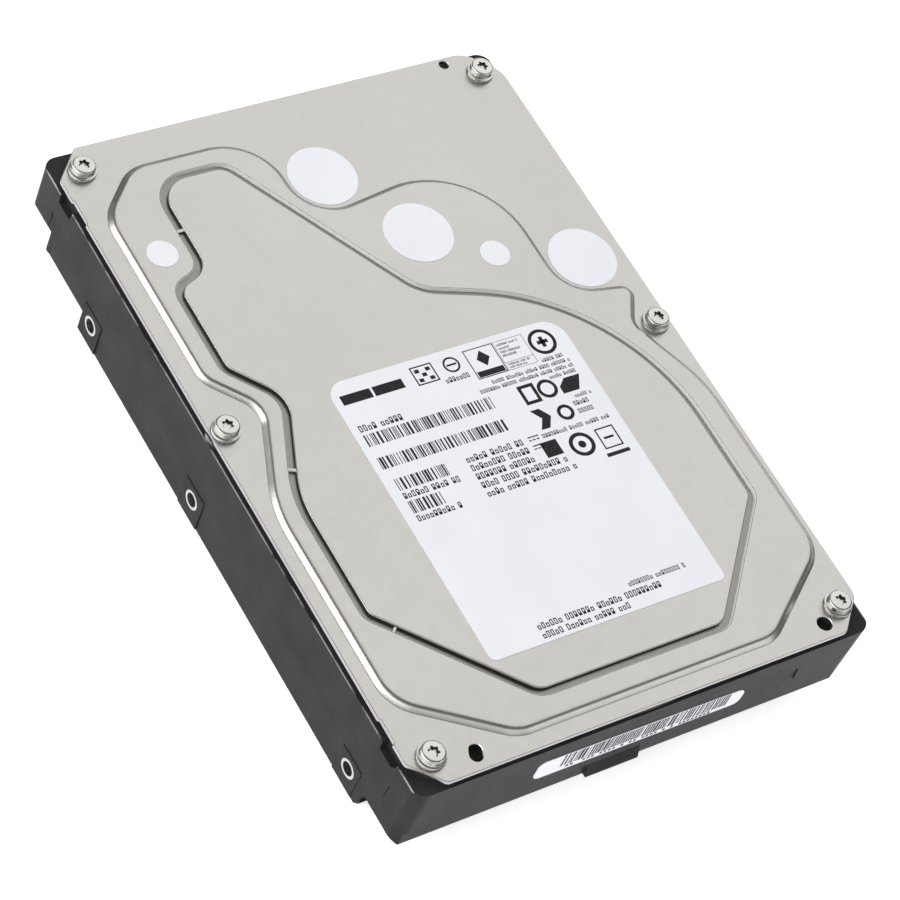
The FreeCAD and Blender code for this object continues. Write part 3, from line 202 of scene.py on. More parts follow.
class Builder:
    """Collects closed loops, bands and caps into one mesh."""

    def __init__(self):
        self.mesh = bmesh.new()
        self.paint = MAIN

    def face(self, corners):
        face = self.mesh.faces.new(corners)
        face.material_index = self.paint
        return face

    def loop(self, points, z):
        """A level loop of vertices."""
        return self.loop3([(point.x, point.y, z) for point in points])

    def loop3(self, points):
        return [self.mesh.verts.new([length * MM for length in point]) for point in points]

    def band(self, first, second):
        """Faces between two loops of the same number of vertices."""
        count = len(first)
        for index in range(count):
            following = (index + 1) % count
            self.face((first[index], first[following], second[following], second[index]))

    def profile(self, outline, steps, looks=None):
        """Bands between loops; each step is (distance outwards from the outline, height).

        looks gives the bands that take another of the piece's materials, by their number."""
        loops = [self.loop(offset_points(outline, distance), z) for distance, z in steps]
        for index, (first, second) in enumerate(zip(loops, loops[1:])):
            self.paint = looks.get(index, MAIN) if looks else MAIN
            self.band(first, second)
        self.paint = MAIN
        return loops

    def cap(self, loops, up=True):
        """Fills between an outer loop and any holes in it."""
        vertices = [vertex for loop in loops for vertex in loop]
        for triangle in tessellate_polygon([[vertex.co for vertex in loop] for loop in loops]):
            face = self.face([vertices[index] for index in triangle])
            face.normal_update()
            if (face.normal.z > 0) != up:
                face.normal_flip()

    def finish(self, name, materials, replaces=(), sharp=32.0):
        """Makes the piece. Edges bent by more than sharp degrees are shaded as edges."""
        bmesh.ops.recalc_face_normals(self.mesh, faces=self.mesh.faces)
        data = bpy.data.meshes.new(name)
        self.mesh.to_mesh(data)
        self.mesh.free()
        for polygon in data.polygons:
            polygon.use_smooth = True
        data.set_sharp_from_angle(angle=math.radians(sharp))
        piece = bpy.data.objects.new(name, data)
        bpy.context.scene.collection.objects.link(piece)
        for material in materials:
            data.materials.append(material)
        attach(piece, "chassis")
        if replaces:
            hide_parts(*replaces)


# ------------------------------------------------------------------ material helpers


class Nodes:
    """One procedural material under construction. Scales are per metre, depths are metres."""

    def __init__(self, name, color, metallic, roughness):
        self.material = bpy.data.materials.new(name)
        self.material.use_nodes = True
        self.tree = self.material.node_tree
        self.shader = self.tree.nodes["Principled BSDF"]
        self.shader.inputs["Base Color"].default_value = (*color, 1)
        self.shader.inputs["Metallic"].default_value = metallic
        self.shader.inputs["Roughness"].default_value = roughness
        self.coords = self.tree.nodes.new("ShaderNodeTexCoord").outputs["Object"]
        self.color = color
        self.roughness = roughness
        self.height = None

    def link(self, source, target):
        self.tree.links.new(source, target)

    def stretched(self, scale):
        mapping = self.tree.nodes.new("ShaderNodeMapping")
        mapping.inputs["Scale"].default_value = scale
        self.link(self.coords, mapping.inputs["Vector"])
        return mapping.outputs["Vector"]

    def noise(self, scale, detail=2.0, stretch=None):
        node = self.tree.nodes.new("ShaderNodeTexNoise")
        node.inputs["Scale"].default_value = scale
        node.inputs["Detail"].default_value = detail
        self.link(self.stretched(stretch) if stretch else self.coords, node.inputs["Vector"])
        return node.outputs["Fac"]

    def wave(self, direction, scale):
        """Straight stripes across one axis."""
        node = self.tree.nodes.new("ShaderNodeTexWave")
        node.bands_direction = direction
        node.inputs["Scale"].default_value = scale
        self.link(self.coords, node.inputs["Vector"])
        return node.outputs["Fac"]

    def cells(self, scale, distance="EUCLIDEAN"):
        """Random cells over the XY plane."""
        node = self.tree.nodes.new("ShaderNodeTexVoronoi")
        node.voronoi_dimensions = "2D"
        node.distance = distance
        node.inputs["Scale"].default_value = scale
        self.link(self.coords, node.inputs["Vector"])
        return node.outputs

    def remap(self, value, low, high, new_low, new_high):
        node = self.tree.nodes.new("ShaderNodeMapRange")
        for key, number in (("From Min", low), ("From Max", high), ("To Min", new_low),
                            ("To Max", new_high)):
            node.inputs[key].default_value = number
        self.link(value, node.inputs["Value"])
        return node.outputs["Result"]

    def math(self, operation, first, second=None):
        """One math node; each value is a number or a socket."""
        node = self.tree.nodes.new("ShaderNodeMath")
        node.operation = operation
        for socket, value in zip(node.inputs, (first, second)):
            if value is None:
                continue
            if isinstance(value, (int, float)):
                socket.default_value = value
            else:
                self.link(value, socket)
        return node.outputs[0]

    def mix(self, factor, first, second):
        """Mixes two colours; each is a tuple or a socket."""
        node = self.tree.nodes.new("ShaderNodeMix")
        node.data_type = "RGBA"
        self.link(factor, node.inputs["Factor"])
        # sockets 6 and 7 are the two colours
        for socket, value in ((node.inputs[6], first), (node.inputs[7], second)):
            if isinstance(value, tuple):
                socket.default_value = (*value, 1)
            else:
                self.link(value, socket)
        return node.outputs[2]

    def mottle(self, scale, amount):
        """Lighter and darker patches around the base colour."""
        dark = tuple(channel * (1 - amount) for channel in self.color)
        light = tuple(min(channel * (1 + amount), 1.0) for channel in self.color)
        factor = self.remap(self.noise(scale, 3.0), 0.3, 0.7, 0, 1)
        return self.mix(factor, dark, light)

    def paint(self, color):
        self.link(color, self.shader.inputs["Base Color"])

    def dull(self, level):
        """Sets how strongly the face-on surface reflects; 0.5 is usual."""
        self.shader.inputs["Specular IOR Level"].default_value = level

    def vary_roughness(self, value, spread):
        self.link(self.remap(value, 0.25, 0.75, self.roughness - spread, self.roughness + spread),
                  self.shader.inputs["Roughness"])

    def bump(self, value, depth):
        """Adds bumps from a height field that spans depth metres."""
        node = self.tree.nodes.new("ShaderNodeBump")
        node.inputs["Distance"].default_value = depth
        node.inputs["Strength"].default_value = 1.0
        self.link(value, node.inputs["Height"])
        if self.height is not None:
            self.link(self.height, node.inputs["Normal"])
        self.height = node.outputs["Normal"]
        self.link(self.height, self.shader.inputs["Normal"])

    def axes(self):
        node = self.tree.nodes.new("ShaderNodeSeparateXYZ")
        self.link(self.coords, node.inputs[0])
        return node.outputs

    def near(self, first, second, spots, radius):
        """1 within radius of any spot in the plane of two coordinates, else 0; in millimetres."""
        total = None
        for a, b in spots:
            da = self.math("SUBTRACT", first, a * MM)
            db = self.math("SUBTRACT", second, b * MM)
            squared = self.math("ADD", self.math("MULTIPLY", da, da), self.math("MULTIPLY", db, db))
            inside = self.math("LESS_THAN", squared, (radius * MM) ** 2)
            total = inside if total is None else self.math("MAXIMUM", total, inside)
        return total


# ------------------------------------------------------------------ materials


def satin_metal(name, color, roughness, grain=None, metallic=1.0):
    """Sheet or machined metal: fine grain, faint clouding, slight unevenness of the gloss."""
    made = Nodes(name, color, metallic, roughness)
    made.paint(made.mottle(55.0, 0.05))
    fine = made.noise(3800.0, 2.0, grain)
    made.vary_roughness(fine, 0.07)
    made.bump(fine, 0.0000022)
    return made.material


def cover_metal(name, color, roughness):
    """Pressed sheet with a fine skin texture, faint clouds and slight waviness."""
    made = Nodes(name, color, 1.0, roughness)
    cloud = made.mottle(34.0, 0.025)
    speck = made.remap(made.noise(2600.0, 1.0), 0.35, 0.7, 0, 1)
    dark = tuple(channel * 0.94 for channel in color)
    made.paint(made.mix(made.math("MULTIPLY", speck, 0.5), cloud, dark))
    made.vary_roughness(made.noise(420.0, 3.0), 0.03)
    made.bump(made.noise(3000.0, 2.0), 0.0000022)
    made.bump(made.noise(60.0, 1.0), 0.00002)
    return made.material


def plastic(name, color, roughness):
    """Moulded plastic with a fine grain."""
    made = Nodes(name, color, 0.0, roughness)
    made.paint(made.mottle(260.0, 0.12))
    grain = made.noise(2200.0, 3.0)
    made.vary_roughness(grain, 0.08)
    made.bump(grain, 0.000006)
    return made.material


def fibre_material(name, color):
    """Matt cloth or foam with a coarse surface."""
    made = Nodes(name, color, 0.0, 0.9)
    made.paint(made.mottle(900.0, 0.15))
    made.bump(made.noise(1400.0, 5.0), 0.00012)
    return made.material


def casting_material():
    """Black satin coat on cast aluminium, bare at the machined holes and worn along the rim."""
    wall_inside = 45.9
    wall_outside = 50.45
    rail_top = 5.1
    rim_low = 21.7
    rim_high = 21.85
    made = Nodes("black_casting", (0.034, 0.033, 0.034), 0.0, 0.3)
    made.dull(0.03)
    x, y, z = made.axes()
    coat = made.mottle(120.0, 0.18)
    from_middle = made.math("ABSOLUTE", x)
    side_holes = made.near(y, z, [(hole, SIDE_HOLE_Z) for hole in SIDE_HOLES_Y], 2.0)
    in_wall = made.math("GREATER_THAN", from_middle, wall_inside * MM)
    bottom_holes = made.near(x, y, BOTTOM_HOLES, 2.1)
    in_rail = made.math("LESS_THAN", z, rail_top * MM)
    bare = made.math("MAXIMUM", made.math("MULTIPLY", side_holes, in_wall),
                     made.math("MULTIPLY", bottom_holes, in_rail))
    edge = made.math("GREATER_THAN", from_middle, wall_outside * MM)
    high = made.remap(z, rim_low * MM, rim_high * MM, 0, 1)
    patchy = made.remap(made.noise(160.0, 3.0), 0.42, 0.55, 0, 1)
    worn = made.math("MULTIPLY", made.math("MULTIPLY", edge, high), patchy)
    metal = made.math("MAXIMUM", bare, made.math("MULTIPLY", worn, 0.55))
    made.paint(made.mix(metal, coat, (0.62, 0.61, 0.59)))
    made.link(metal, made.shader.inputs["Metallic"])
    grain = made.noise(1100.0, 1.0)
    made.vary_roughness(grain, 0.04)
    made.bump(grain, 0.000006)
    made.bump(made.noise(240.0, 2.0), 0.00004)
    return made.material


def label_material():
    """Coated film, slightly uneven where it is stuck down."""
    made = Nodes("label_film", (0.9, 0.91, 0.965), 0.0, 0.42)
    made.paint(made.mottle(90.0, 0.02))
    fibre = made.noise(2400.0, 2.0)
    made.vary_roughness(fibre, 0.05)
    made.bump(fibre, 0.000003)
    made.bump(made.noise(110.0, 2.0), 0.00003)
    return made.material


def ink_material():
    """Matt black print with slightly uneven cover."""
    made = Nodes("label_ink", (0.012, 0.012, 0.014), 0.0, 0.5)
    made.dull(0.2)
    made.paint(made.mottle(1800.0, 0.5))
    made.vary_roughness(made.noise(1500.0), 0.08)
    return made.material


def board_material():
    """Solder mask over copper: patches of straight tracks and small round vias show through."""
    made = Nodes("board_green", (0.01, 0.06, 0.04), 0.0, 0.32)
    chance = made.tree.nodes.new("ShaderNodeSeparateColor")
    made.link(made.cells(105.0, "CHEBYCHEV")["Color"], chance.inputs["Color"])
    lines = [made.remap(made.wave(direction, 360.0), 0.66, 0.74, 0, 1) for direction in ("X", "Y")]
    along = made.remap(chance.outputs["Red"], 0.5, 0.51, 0, 1)
    across = made.remap(chance.outputs["Red"], 0.3, 0.31, 1, 0)
    tracks = made.math("ADD", made.math("MULTIPLY", along, lines[0]),
                       made.math("MULTIPLY", across, lines[1]))
    vias = made.remap(made.cells(230.0)["Distance"], 0.07, 0.09, 1, 0)
    masked = made.mix(tracks, made.mottle(80.0, 0.1), (0.022, 0.115, 0.075))
    made.paint(made.mix(vias, masked, (0.36, 0.33, 0.2)))
    made.bump(tracks, 0.00002)
    return made.material


def coil_material():
    """Enamelled wire laid in turns, with painted shade between the turns."""
    made = Nodes("copper_wire", (0.72, 0.30, 0.12), 1.0, 0.35)
    turns = made.wave("Z", 900.0)
    # the darker of the two colours in each turn is painted shade between the wires
    made.paint(made.mix(turns, (0.42, 0.15, 0.05), (0.8, 0.36, 0.15)))
    made.bump(turns, 0.00005)
    return made.material


def disk_material():
    """Polished disk with faint concentric rings about the spindle."""
    radians_per_metre = 9000.0
    made = Nodes("disk_mirror", (0.78, 0.79, 0.8), 1.0, 0.06)
    x, y, _ = made.axes()
    dy = made.math("SUBTRACT", y, SPINDLE_Y * MM)
    reach = made.math("SQRT", made.math("ADD", made.math("MULTIPLY", x, x),
                                        made.math("MULTIPLY", dy, dy)))
    rings = made.math("SINE", made.math("MULTIPLY", reach, radians_per_metre))
    made.link(made.remap(rings, -1, 1, 0.04, 0.09), made.shader.inputs["Roughness"])
    made.paint(made.mix(made.remap(rings, -1, 1, 0, 1), (0.76, 0.77, 0.78), (0.8, 0.81, 0.82)))
    return made.material


SLOT_MATERIALS = {
    "black_casting": casting_material(),
    "cover_sheet": cover_metal("cover_sheet", (0.475, 0.462, 0.441), 0.31),
    "gasket_rubber": plastic("gasket_rubber", (0.015, 0.015, 0.015), 0.75),
    "label_film": label_material(),
    "screw_steel": satin_metal("screw_steel", (0.55, 0.54, 0.51), 0.26),
    "bare_steel": satin_metal("bare_steel", (0.60, 0.60, 0.61), 0.25),
    "core_steel": satin_metal("core_steel", (0.26, 0.26, 0.28), 0.45, grain=(1, 1, 8)),
    "plated_steel": satin_metal("plated_steel", (0.66, 0.64, 0.6), 0.3),
    "machined_aluminium": satin_metal("machined_aluminium", (0.78, 0.78, 0.79), 0.24),
    "disk_mirror": disk_material(),
    "brass_part": satin_metal("brass_part", (0.75, 0.56, 0.27), 0.28),
    "copper_wire": coil_material(),
    "ramp_plastic": plastic("ramp_plastic", (0.72, 0.68, 0.58), 0.5),
    "dark_plastic": plastic("dark_plastic", (0.022, 0.022, 0.024), 0.42),
    "flex_film": plastic("flex_film", (0.45, 0.2, 0.04), 0.3),
    "filter_cloth": fibre_material("filter_cloth", (0.82, 0.82, 0.78)),
    "board_green": board_material(),
    "foam_sheet": fibre_material("foam_sheet", (0.09, 0.09, 0.1)),
    "capacitor_case": plastic("capacitor_case", (0.55, 0.33, 0.1), 0.4),
    "contact_gold": satin_metal("contact_gold", (0.9, 0.65, 0.25), 0.22),
}
INK = ink_material()
# near-black metal for painted shade: the dark line at the sunk field's lip, the damper's lower edge
# and the screws' socket walls
PAINTED_SHADE_METAL = satin_metal("painted_shade_metal", (0.07, 0.065, 0.055), 0.45)
# the cover steel's tone for its edge faces, standing in for the edge's bright line: painted highlight
HIGHLIGHT_METAL = satin_metal("painted_highlight_edge", (0.45, 0.44, 0.46), 0.3)
# a much lighter, half-metal copy of the cover steel for the sunk field's wall: painted light
LIT_WALL_METAL = satin_metal("recess_wall_painted_light", (0.95, 0.94, 0.92), 0.55, metallic=0.4)
# a darker copy of the cover steel for the sunk field's floor: painted shade
SUNK_SHADE_METAL = cover_metal("recess_floor_painted_shade", (0.25, 0.24, 0.225), 0.34)


def paint_cad_nodes():
    """Gives each CAD node the material of its slot."""
    for entry in frame["record"]["subparts"]:
        data = frame["nodes"][entry["node"]].data
        data.materials.clear()
        data.materials.append(SLOT_MATERIALS[entry["material_slot"]])


# ------------------------------------------------------------------ cover sheet
# The sections are steps of Builder.profile: distance outwards from the outline, height.

EDGE_SECTION = [(0.0, SHEET_BOTTOM), (0.0, 23.84), (-0.04, 23.93), (-0.13, 23.985),
                (-0.25, FLANGE_TOP), (-0.25 - RIM, FLANGE_TOP)]
SLOPE_SECTION = [(0.06 + RIM, FLANGE_TOP), (0.06, FLANGE_TOP), (-0.02, 24.012), (-0.1, 24.055),
                 (-0.7, 24.63), (-0.9, 24.79), (-1.12, 24.9), (-1.36, 24.965), (-1.62, 24.992),
                 (-1.9, PLATEAU_TOP), (-1.9 - RIM, PLATEAU_TOP)]
RECESS_SECTION = [(0.2 + RIM, PLATEAU_TOP), (0.2, PLATEAU_TOP), (0.1, 24.985), (0.03, 24.94),
                  (0.0, 24.86), (-0.06, 24.4), (-0.12, 24.3), (-0.24, RECESS_FLOOR),
                  (-0.24 - RIM, RECESS_FLOOR)]
HOLE_ROUNDING = 0.12


def hole_points():
    """For each hole in the cover: its edge, the top of its rounding and its level rim."""
    growths = (0.0, HOLE_ROUNDING, HOLE_ROUNDING + RIM)
    rounds = [screw + (SCREW_HOLE,) for screw in SCREWS] + TOOLING_HOLES
    holes = [[circle_points(x, y, radius + grow) for grow in growths] for x, y, radius in rounds]
    slot = slot_outline(*SLOT_HOLE)
    holes.append([offset_points(slot, grow) for grow in growths])
    return holes


def make_cover():
    """Pressed cover with rounded plateau edge, recess lip and through holes."""
    made = Builder()
    # the cover edge's outer bands take the painted highlight tone
    edge = made.profile(cover_outline(), EDGE_SECTION, {0: HIGHLIGHT, 1: HIGHLIGHT, 2: HIGHLIGHT})
    slope = made.profile(plateau_outline(), SLOPE_SECTION)
    # the sunk field's lip band takes painted shade, its wall bands painted light, and its foot and
    # floor rim painted shade
    wall = made.profile(recess_outline(), RECESS_SECTION,
                        {1: PAINTED_SHADE, 2: LIT_WALL, 3: LIT_WALL, 4: LIT_WALL, 5: LIT_WALL, 6: SUNK_SHADE, 7: SUNK_SHADE})
    top_holes = []
    bottom_holes = []
    for inner, lip, rim in hole_points():
        loops = [made.loop(inner, SHEET_BOTTOM), made.loop(inner, FLANGE_TOP - HOLE_ROUNDING),
                 made.loop(lip, FLANGE_TOP), made.loop(rim, FLANGE_TOP)]
        for first, second in zip(loops, loops[1:]):
            made.band(first, second)
        bottom_holes.append(loops[0])
        top_holes.append(loops[-1])
    made.cap([edge[-1], slope[0]] + top_holes)
    made.cap([slope[-1], wall[0]])
    # the sunk field's floor takes painted shade
    made.paint = SUNK_SHADE
    made.cap([wall[-1]])
    made.paint = MAIN
    made.cap([edge[0]] + bottom_holes, up=False)
    materials = [SLOT_MATERIALS["cover_sheet"], PAINTED_SHADE_METAL, HIGHLIGHT_METAL, SUNK_SHADE_METAL, LIT_WALL_METAL]
    made.finish("cover_sheet_detail", materials, replaces=("top_cover",),
                sharp=24.0)


# ------------------------------------------------------------------ damper plate

DAMPER_GAP = 1.4
DAMPER_SECTION = [(-DAMPER_GAP, RECESS_FLOOR), (-DAMPER_GAP, 24.8), (-DAMPER_GAP - 0.04, 24.98),
                  (-DAMPER_GAP - 0.12, 25.07), (-DAMPER_GAP - 0.22, DAMPER_TOP),
                  (-DAMPER_GAP - 0.22 - RIM, DAMPER_TOP)]
# small tabs that bridge the gap: x, y, angle
TABS = ((-34.2, 48.5, 180.0), (-40.1, -6.5, 156.0), (-39.2, -42.9, 222.0))
TAB_WIDTH = 0.7
TAB_LENGTH = 2.2
TAB_SECTION = [(0.0, RECESS_FLOOR), (0.0, 24.75), (-0.12, 24.88)]


def make_damper():
    """Damper plate: a sheared edge with painted shade on its lower part, and a fine rounding at the
    top.
    """
    made = Builder()
    # the edge's lowest band takes painted shade
    loops = made.profile(recess_outline(), DAMPER_SECTION, {0: PAINTED_SHADE})
    made.cap([loops[0]], up=False)
    made.cap([loops[-1]])
    for x, y, degrees in TABS:
        loops = made.profile(slot_outline(x, y, TAB_WIDTH, TAB_LENGTH, degrees), TAB_SECTION)
        made.cap([loops[0]], up=False)
        made.cap([loops[-1]])
    made.finish("damper_plate_detail", [SLOT_MATERIALS["cover_sheet"], PAINTED_SHADE_METAL],
                replaces=("damper_plate",))


# ------------------------------------------------------------------ cover screws
# The sections of a screw are radius, height.

HEAD_SECTION = [(0.96, 16.0), (0.96, FLANGE_TOP), (2.72, FLANGE_TOP), (2.8, 24.08), (2.8, 24.56),
                (2.74, 24.67), (2.55, 24.73), (2.4, 24.78), (2.35, 24.88), (2.35, 25.62),
                (2.3, 25.84), (2.16, 26.0), (1.95, 26.07), (1.75, SCREW_TOP)]
SOCKET_SECTION = [(1.0, SCREW_TOP), (0.94, 26.02), (0.88, 25.5)]
SCREW_STEPS = 72
LOBES = 6
LOBE_DEPTH = 0.17
# each screw stands turned by this much more than the one before, in radians
SCREW_TURN = 0.4


def lobed_points(x, y, radius, turn):
    """A round outline with six soft lobes, turned by an angle in radians."""
    points = []
    for step in range(SCREW_STEPS):
        angle = 2 * math.pi * step / SCREW_STEPS
        reach = radius + LOBE_DEPTH * math.cos(LOBES * (angle + turn))
        points.append(Vector((x + reach * math.cos(angle), y + reach * math.sin(angle))))
    return points


def make_screws():
    """Flanged pan heads with a six-lobe socket, with painted shade on the socket's wall."""
    made = Builder()
    for index, (x, y) in enumerate(SCREWS):
        rings = [made.loop(circle_points(x, y, radius, SCREW_STEPS), z) for radius, z in HEAD_SECTION]
        rings += [made.loop(lobed_points(x, y, radius, SCREW_TURN * index), z)
                  for radius, z in SOCKET_SECTION]
        for first, second in zip(rings, rings[1:]):
            # the socket's wall takes painted shade
            made.paint = PAINTED_SHADE if second is rings[-1] else MAIN
            made.band(first, second)
        made.paint = MAIN
        made.cap([rings[-1]])
        made.cap([rings[0]], up=False)
    made.finish("cover_screws_detail", [SLOT_MATERIALS["screw_steel"], PAINTED_SHADE_METAL],
                replaces=("cover_screws",), sharp=40.0)


# ------------------------------------------------------------------ label print

INK_THICKNESS = 0.012
BAR_MODULE = 0.165


class Print:
    """Flat ink marks on the top label, each a thin closed prism."""

    def __init__(self, builder, surface):
        self.made = builder
        self.low = surface
        self.high = surface + INK_THICKNESS
        self.draw = random.Random(11)

    def shape(self, points):
        low = self.made.loop(points, self.low)
        high = self.made.loop(points, self.high)
        self.made.band(low, high)
        self.made.cap([low], up=False)
        self.made.cap([high])

    def polygon(self, *corners):
        self.shape([Vector(corner) for corner in corners])

    def bar(self, x0, y0, x1, y1):
        self.polygon((x0, y0), (x1, y0), (x1, y1), (x0, y1))

    def disc(self, x, y, radius):
        self.shape(circle_points(x, y, radius, 32))

    def ring(self, x, y, outer, inner):
        low_outer, low_inner, high_outer, high_inner = [
            self.made.loop(circle_points(x, y, radius, 40), z)
            for z in (self.low, self.high) for radius in (outer, inner)]
        self.made.band(low_outer, high_outer)
        self.made.band(high_inner, low_inner)
        self.made.band(high_outer, high_inner)
        self.made.band(low_inner, low_outer)

    def frame(self, x0, y0, x1, y1, line):
        self.bar(x0, y0, x1, y0 + line)
        self.bar(x0, y1 - line, x1, y1)
        self.bar(x0, y0 + line, x0 + line, y1 - line)
        self.bar(x1 - line, y0 + line, x1, y1 - line)

    def barcode(self, x0, x1, y0, y1):
        """Random bars of one, two or three modules."""
        x = x0
        while x < x1:
            width = BAR_MODULE * self.draw.choice((1, 1, 1, 2, 2, 3))
            if x + width > x1:
                break
            self.bar(x, y0, x + width, y1)
            x += width + BAR_MODULE * self.draw.choice((1, 1, 2, 2, 3))

    def dashes(self, x0, x1, y0, y1):
        """A line of small hollow blocks, plain or split, that stands for small print."""
        height = y1 - y0
        pitch = height * 0.7
        width = pitch * 0.72
        line = height * 0.15
        space = pitch * 0.8
        x = x0
        left_in_word = self.draw.randint(4, 9)
        while x + width <= x1:
            if left_in_word == 0:
                left_in_word = self.draw.randint(4, 9)
                x += space
                continue
            kind = self.draw.randint(0, 2)
            top = y0 + height * (1.0, 1.0, 0.7)[kind]
            self.frame(x, y0, x + width, top, line)
            if kind == 1:
                self.bar(x + line, y0 + line, x + width - line, y0 + 3 * line)
            x += pitch
            left_in_word -= 1


def print_heading(ink):
    """Top row: two bars for a name, a dotted square, a ring, a diamond box and a boxed note."""
    ink.bar(-23.9, 2.6, -17.4, 4.7)
    ink.bar(-16.9, 2.6, -10.4, 4.7)
    ink.frame(-7.8, 2.0, -3.0, 6.2, 0.28)
    for row in range(3):
        for column in range(3):
            if (row + column) % 2 == 0:
                x = -7.1 + 1.2 * column
                y = 2.6 + 1.05 * row
                ink.bar(x, y, x + 1.0, y + 0.8)
    ink.ring(0.8, 4.4, 1.75, 1.35)
    ink.bar(-0.3, 4.2, 1.9, 4.6)
    ink.dashes(-2.2, 4.0, 0.8, 1.9)
    ink.frame(4.3, -0.4, 11.0, 6.4, 0.2)
    ink.polygon((7.65, 5.6), (6.2, 3.8), (7.65, 2.0), (9.1, 3.8))
    ink.bar(4.7, -0.1, 10.6, 1.2)
    ink.frame(11.2, -0.4, 17.8, 6.4, 0.08)
    for index, end in enumerate((16.6, 14.6, 16.2, 15.0)):
        y = 5.3 - 0.85 * index
        ink.dashes(11.7, end, y, y + 0.5)
    ink.bar(11.2, 1.4, 17.8, 1.48)
    ink.dashes(11.7, 16.6, 0.7, 1.15)
    ink.dashes(11.7, 15.8, 0.0, 0.45)
    ink.ring(21.1, 3.5, 2.9, 2.2)
    ink.bar(19.9, 3.1, 22.3, 3.9)
    ink.bar(20.7, 2.3, 21.5, 4.7)


def print_codes(ink):
    """Lines of small print, four bar strips and the block of lines beside them."""
    ink.dashes(18.6, 23.6, -0.8, 0.0)
    for index, start in enumerate((6.4, 3.0, 18.0)):
        y = -2.1 - 1.3 * index
        ink.dashes(start, 24.4, y, y + 0.8)
    ink.dashes(-23.9, -14.0, -3.7, -2.3)
    ink.barcode(-23.9, 4.1, -7.1, -4.4)
    ink.barcode(-23.9, 4.1, -12.3, -9.7)
    ink.barcode(-23.2, -12.0, -17.4, -14.8)
    ink.dashes(-23.2, -10.7, -19.3, -18.0)
    ink.barcode(-23.2, -16.1, -22.6, -19.9)
    ink.dashes(-23.2, -13.0, -24.4, -23.1)
    for index, end in enumerate((5.6, 5.6, 5.2, 11.6, 12.5)):
        y = -16.2 - 1.97 * index
        ink.dashes(-7.7, end, y, y + 1.35)
        if index < 2:
            ink.bar(6.3, y + 1.0, 8.7, y + 1.25)
            for step in range(3):
                ink.bar(6.3 + 0.85 * step, y + 0.3, 6.9 + 0.85 * step, y + 0.55)


def print_signs(ink):
    """Plain shapes on the right, where the real label has approval signs."""
    ink.frame(10.3, -8.6, 13.9, -4.2, 0.7)
    ink.ring(16.2, -6.4, 2.1, 1.4)
    ink.polygon((18.8, -6.9), (20.6, -5.3), (24.2, -5.3), (22.4, -8.5), (18.8, -8.5))
    ink.dashes(20.6, 24.4, -10.0, -9.2)
    ink.polygon((10.0, -14.4), (12.0, -14.4), (13.5, -12.1), (12.0, -9.9), (10.0, -9.9),
                (11.5, -12.1))
    ink.ring(16.8, -12.3, 1.75, 1.05)
    ink.dashes(19.4, 23.4, -11.6, -10.6)
    ink.dashes(19.4, 23.0, -13.4, -12.4)
    ink.dashes(9.4, 24.8, -16.1, -15.2)
    ink.bar(7.9, -20.3, 11.5, -16.9)
    ink.ring(16.0, -19.7, 2.65, 1.85)
    ink.disc(16.0, -19.7, 0.8)
    ink.frame(19.9, -22.3, 24.1, -17.6, 0.3)
    ink.bar(20.9, -20.2, 23.1, -19.7)
    ink.bar(19.4, -24.0, 24.6, -23.2)


def print_footer(ink):
    """Three lines at the label's near edge."""
    ink.dashes(7.7, 20.6, -50.0, -49.0)
    ink.dashes(-13.7, 14.6, -52.1, -50.8)
    ink.dashes(-13.7, 6.0, -54.0, -52.7)


def make_print():
    """Generic marks in place of the real label's names, codes and approval signs."""
    made = Builder()
    ink = Print(made, LABEL_TOP)
    print_heading(ink)
    print_codes(ink)
    print_signs(ink)
    print_footer(ink)
    made.finish("main_label_print", [INK])


# ------------------------------------------------------------------ end label
# Its outlines are x, height and rounding on the plain end's face.

END_LABEL = [(-22.8, 10.8, 2.0), (24.2, 10.3, 1.4), (24.2, 15.6, 2.2), (-22.8, 16.8, 1.6)]
END_FILM = 0.085
# the ink starts this far out of the end face, just off the film
END_INK = 0.086
END_MODULE = 0.21
# rise of the print per millimetre of x, as the film is stuck on slightly askew
END_LEAN = -0.025
# the strip of bars and the row of blocks: first x, last x, bottom, top
END_BARS = (-17.1, 20.5, 12.0, 16.0)
END_BLOCKS = (-15.5, 18.5, 11.0, 11.7)
BLOCK_WIDTH = 0.6
BLOCK_PITCH = 0.95
# share of the blocks that are left out
BLOCK_GAPS = 0.3


def end_loop(builder, points, depth):
    """A loop standing on the plain end; points are (x, z), depth is how far out of the face."""
    return builder.loop3([(x, END_FACE - depth, z) for x, z in points])


def end_slab(builder, points, depth, thickness):
    """A thin slab on the plain end."""
    back = end_loop(builder, points, depth)
    front = end_loop(builder, points, depth + thickness)
    builder.band(back, front)
    builder.face(front)
    builder.face(back[::-1])


def end_block(builder, x0, x1, bottom, top):
    """A block of ink on the end label."""
    corners = [(x0, bottom), (x1, bottom), (x1, top), (x0, top)]
    end_slab(builder, [(x, z + END_LEAN * x) for x, z in corners], END_INK, INK_THICKNESS)


def make_end_label():
    """Film on the plain end with a strip of random bars and a row of small blocks."""
    film = Builder()
    end_slab(film, [(point.x, point.y) for point in offset_points(END_LABEL, 0.0)], 0.0, END_FILM)
    film.finish("end_label_film", [SLOT_MATERIALS["label_film"]], replaces=("end_label",))
    ink = Builder()
    draw = random.Random(5)
    x, last, bottom, top = END_BARS
    while x < last:
        width = END_MODULE * draw.choice((1, 2, 2, 3))
        end_block(ink, x, x + width, bottom, top)
        x += width + END_MODULE * draw.choice((1, 1, 2))
    x, last, bottom, top = END_BLOCKS
    while x < last:
        if draw.random() > BLOCK_GAPS:
            end_block(ink, x, x + BLOCK_WIDTH, bottom, top)
        x += BLOCK_PITCH
    ink.finish("end_label_print", [INK])


# ------------------------------------------------------------------ stage, light and camera

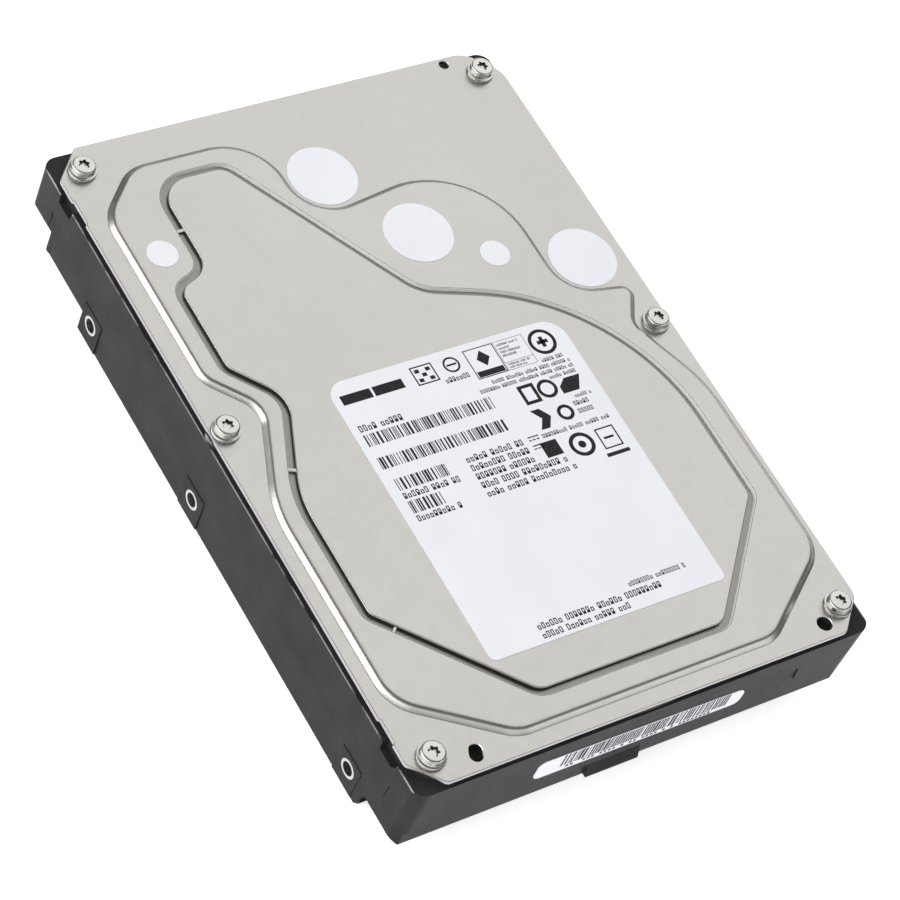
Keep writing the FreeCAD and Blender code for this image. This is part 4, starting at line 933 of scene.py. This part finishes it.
FLOOR_REACH = 6.0
FLOOR_HEIGHT = -0.0002
WORLD_STRENGTH = 0.17
# each light, aimed at the drive: name, place, width, height, watts
LIGHTS = [("strip_left", (-1.2, 0.25, 0.75), 2.0, 0.7, 18.1),
          ("panel_top", (0.66, 0.58, 0.97), 1.5, 1.4, 8.2),
          ("panel_right", (0.6, -0.95, 0.49), 0.9, 0.4, 1.9),
          ("panel_near", (-0.1, -1.0, 0.72), 0.6, 0.36, 1.15),
          ("panel_behind", (-0.76, -0.66, 0.82), 0.7, 0.4, 1.9)]
# the camera as solved from the photo's outline of the drive: place, turns in degrees, lens in mm
CAMERA_PLACE = (-0.30821, -0.24807, 0.48327)
CAMERA_TURN = (36.568, -16.686, -30.583)
CAMERA_LENS = 130.54


def make_floor():
    """White paper floor that also glows, for the photo's bare white ground."""
    data = bpy.data.meshes.new("floor")
    corners = [(side_x * FLOOR_REACH, side_y * FLOOR_REACH, FLOOR_HEIGHT)
               for side_x, side_y in ((-1, -1), (1, -1), (1, 1), (-1, 1))]
    data.from_pydata(corners, [], [(0, 1, 2, 3)])
    floor = bpy.data.objects.new("floor", data)
    bpy.context.scene.collection.objects.link(floor)
    made = Nodes("floor_paper", (0.92, 0.92, 0.92), 0.0, 0.9)
    made.paint(made.mottle(2.0, 0.005))
    made.shader.inputs["Emission Color"].default_value = (1, 1, 1, 1)
    made.shader.inputs["Emission Strength"].default_value = 0.62
    data.materials.append(made.material)


def area_light(name, place, width, height, power):
    """A rectangular light aimed at the drive."""
    data = bpy.data.lights.new(name, "AREA")
    data.shape = "RECTANGLE"
    data.size = width
    data.size_y = height
    data.energy = power
    light = bpy.data.objects.new(name, data)
    light.location = place
    light.rotation_mode = "QUATERNION"
    light.rotation_quaternion = (-Vector(place)).to_track_quat("-Z", "Y")
    bpy.context.scene.collection.objects.link(light)


def make_light():
    world = bpy.data.worlds.new("studio")
    world.use_nodes = True
    background = world.node_tree.nodes["Background"]
    background.inputs["Color"].default_value = (1, 1, 1, 1)
    background.inputs["Strength"].default_value = WORLD_STRENGTH
    bpy.context.scene.world = world
    for light in LIGHTS:
        area_light(*light)
    view = bpy.context.scene.view_settings
    view.view_transform = "Standard"
    view.look = "None"


def make_camera():
    data = bpy.data.cameras.new("camera")
    data.sensor_width = 36.0
    data.lens = CAMERA_LENS
    camera = bpy.data.objects.new("camera", data)
    camera.location = CAMERA_PLACE
    camera.rotation_euler = [math.radians(degrees) for degrees in CAMERA_TURN]
    bpy.context.scene.collection.objects.link(camera)
    bpy.context.scene.camera = camera


paint_cad_nodes()
make_cover()
make_damper()
make_screws()
make_print()
make_end_label()
make_floor()
make_light()
make_camera()
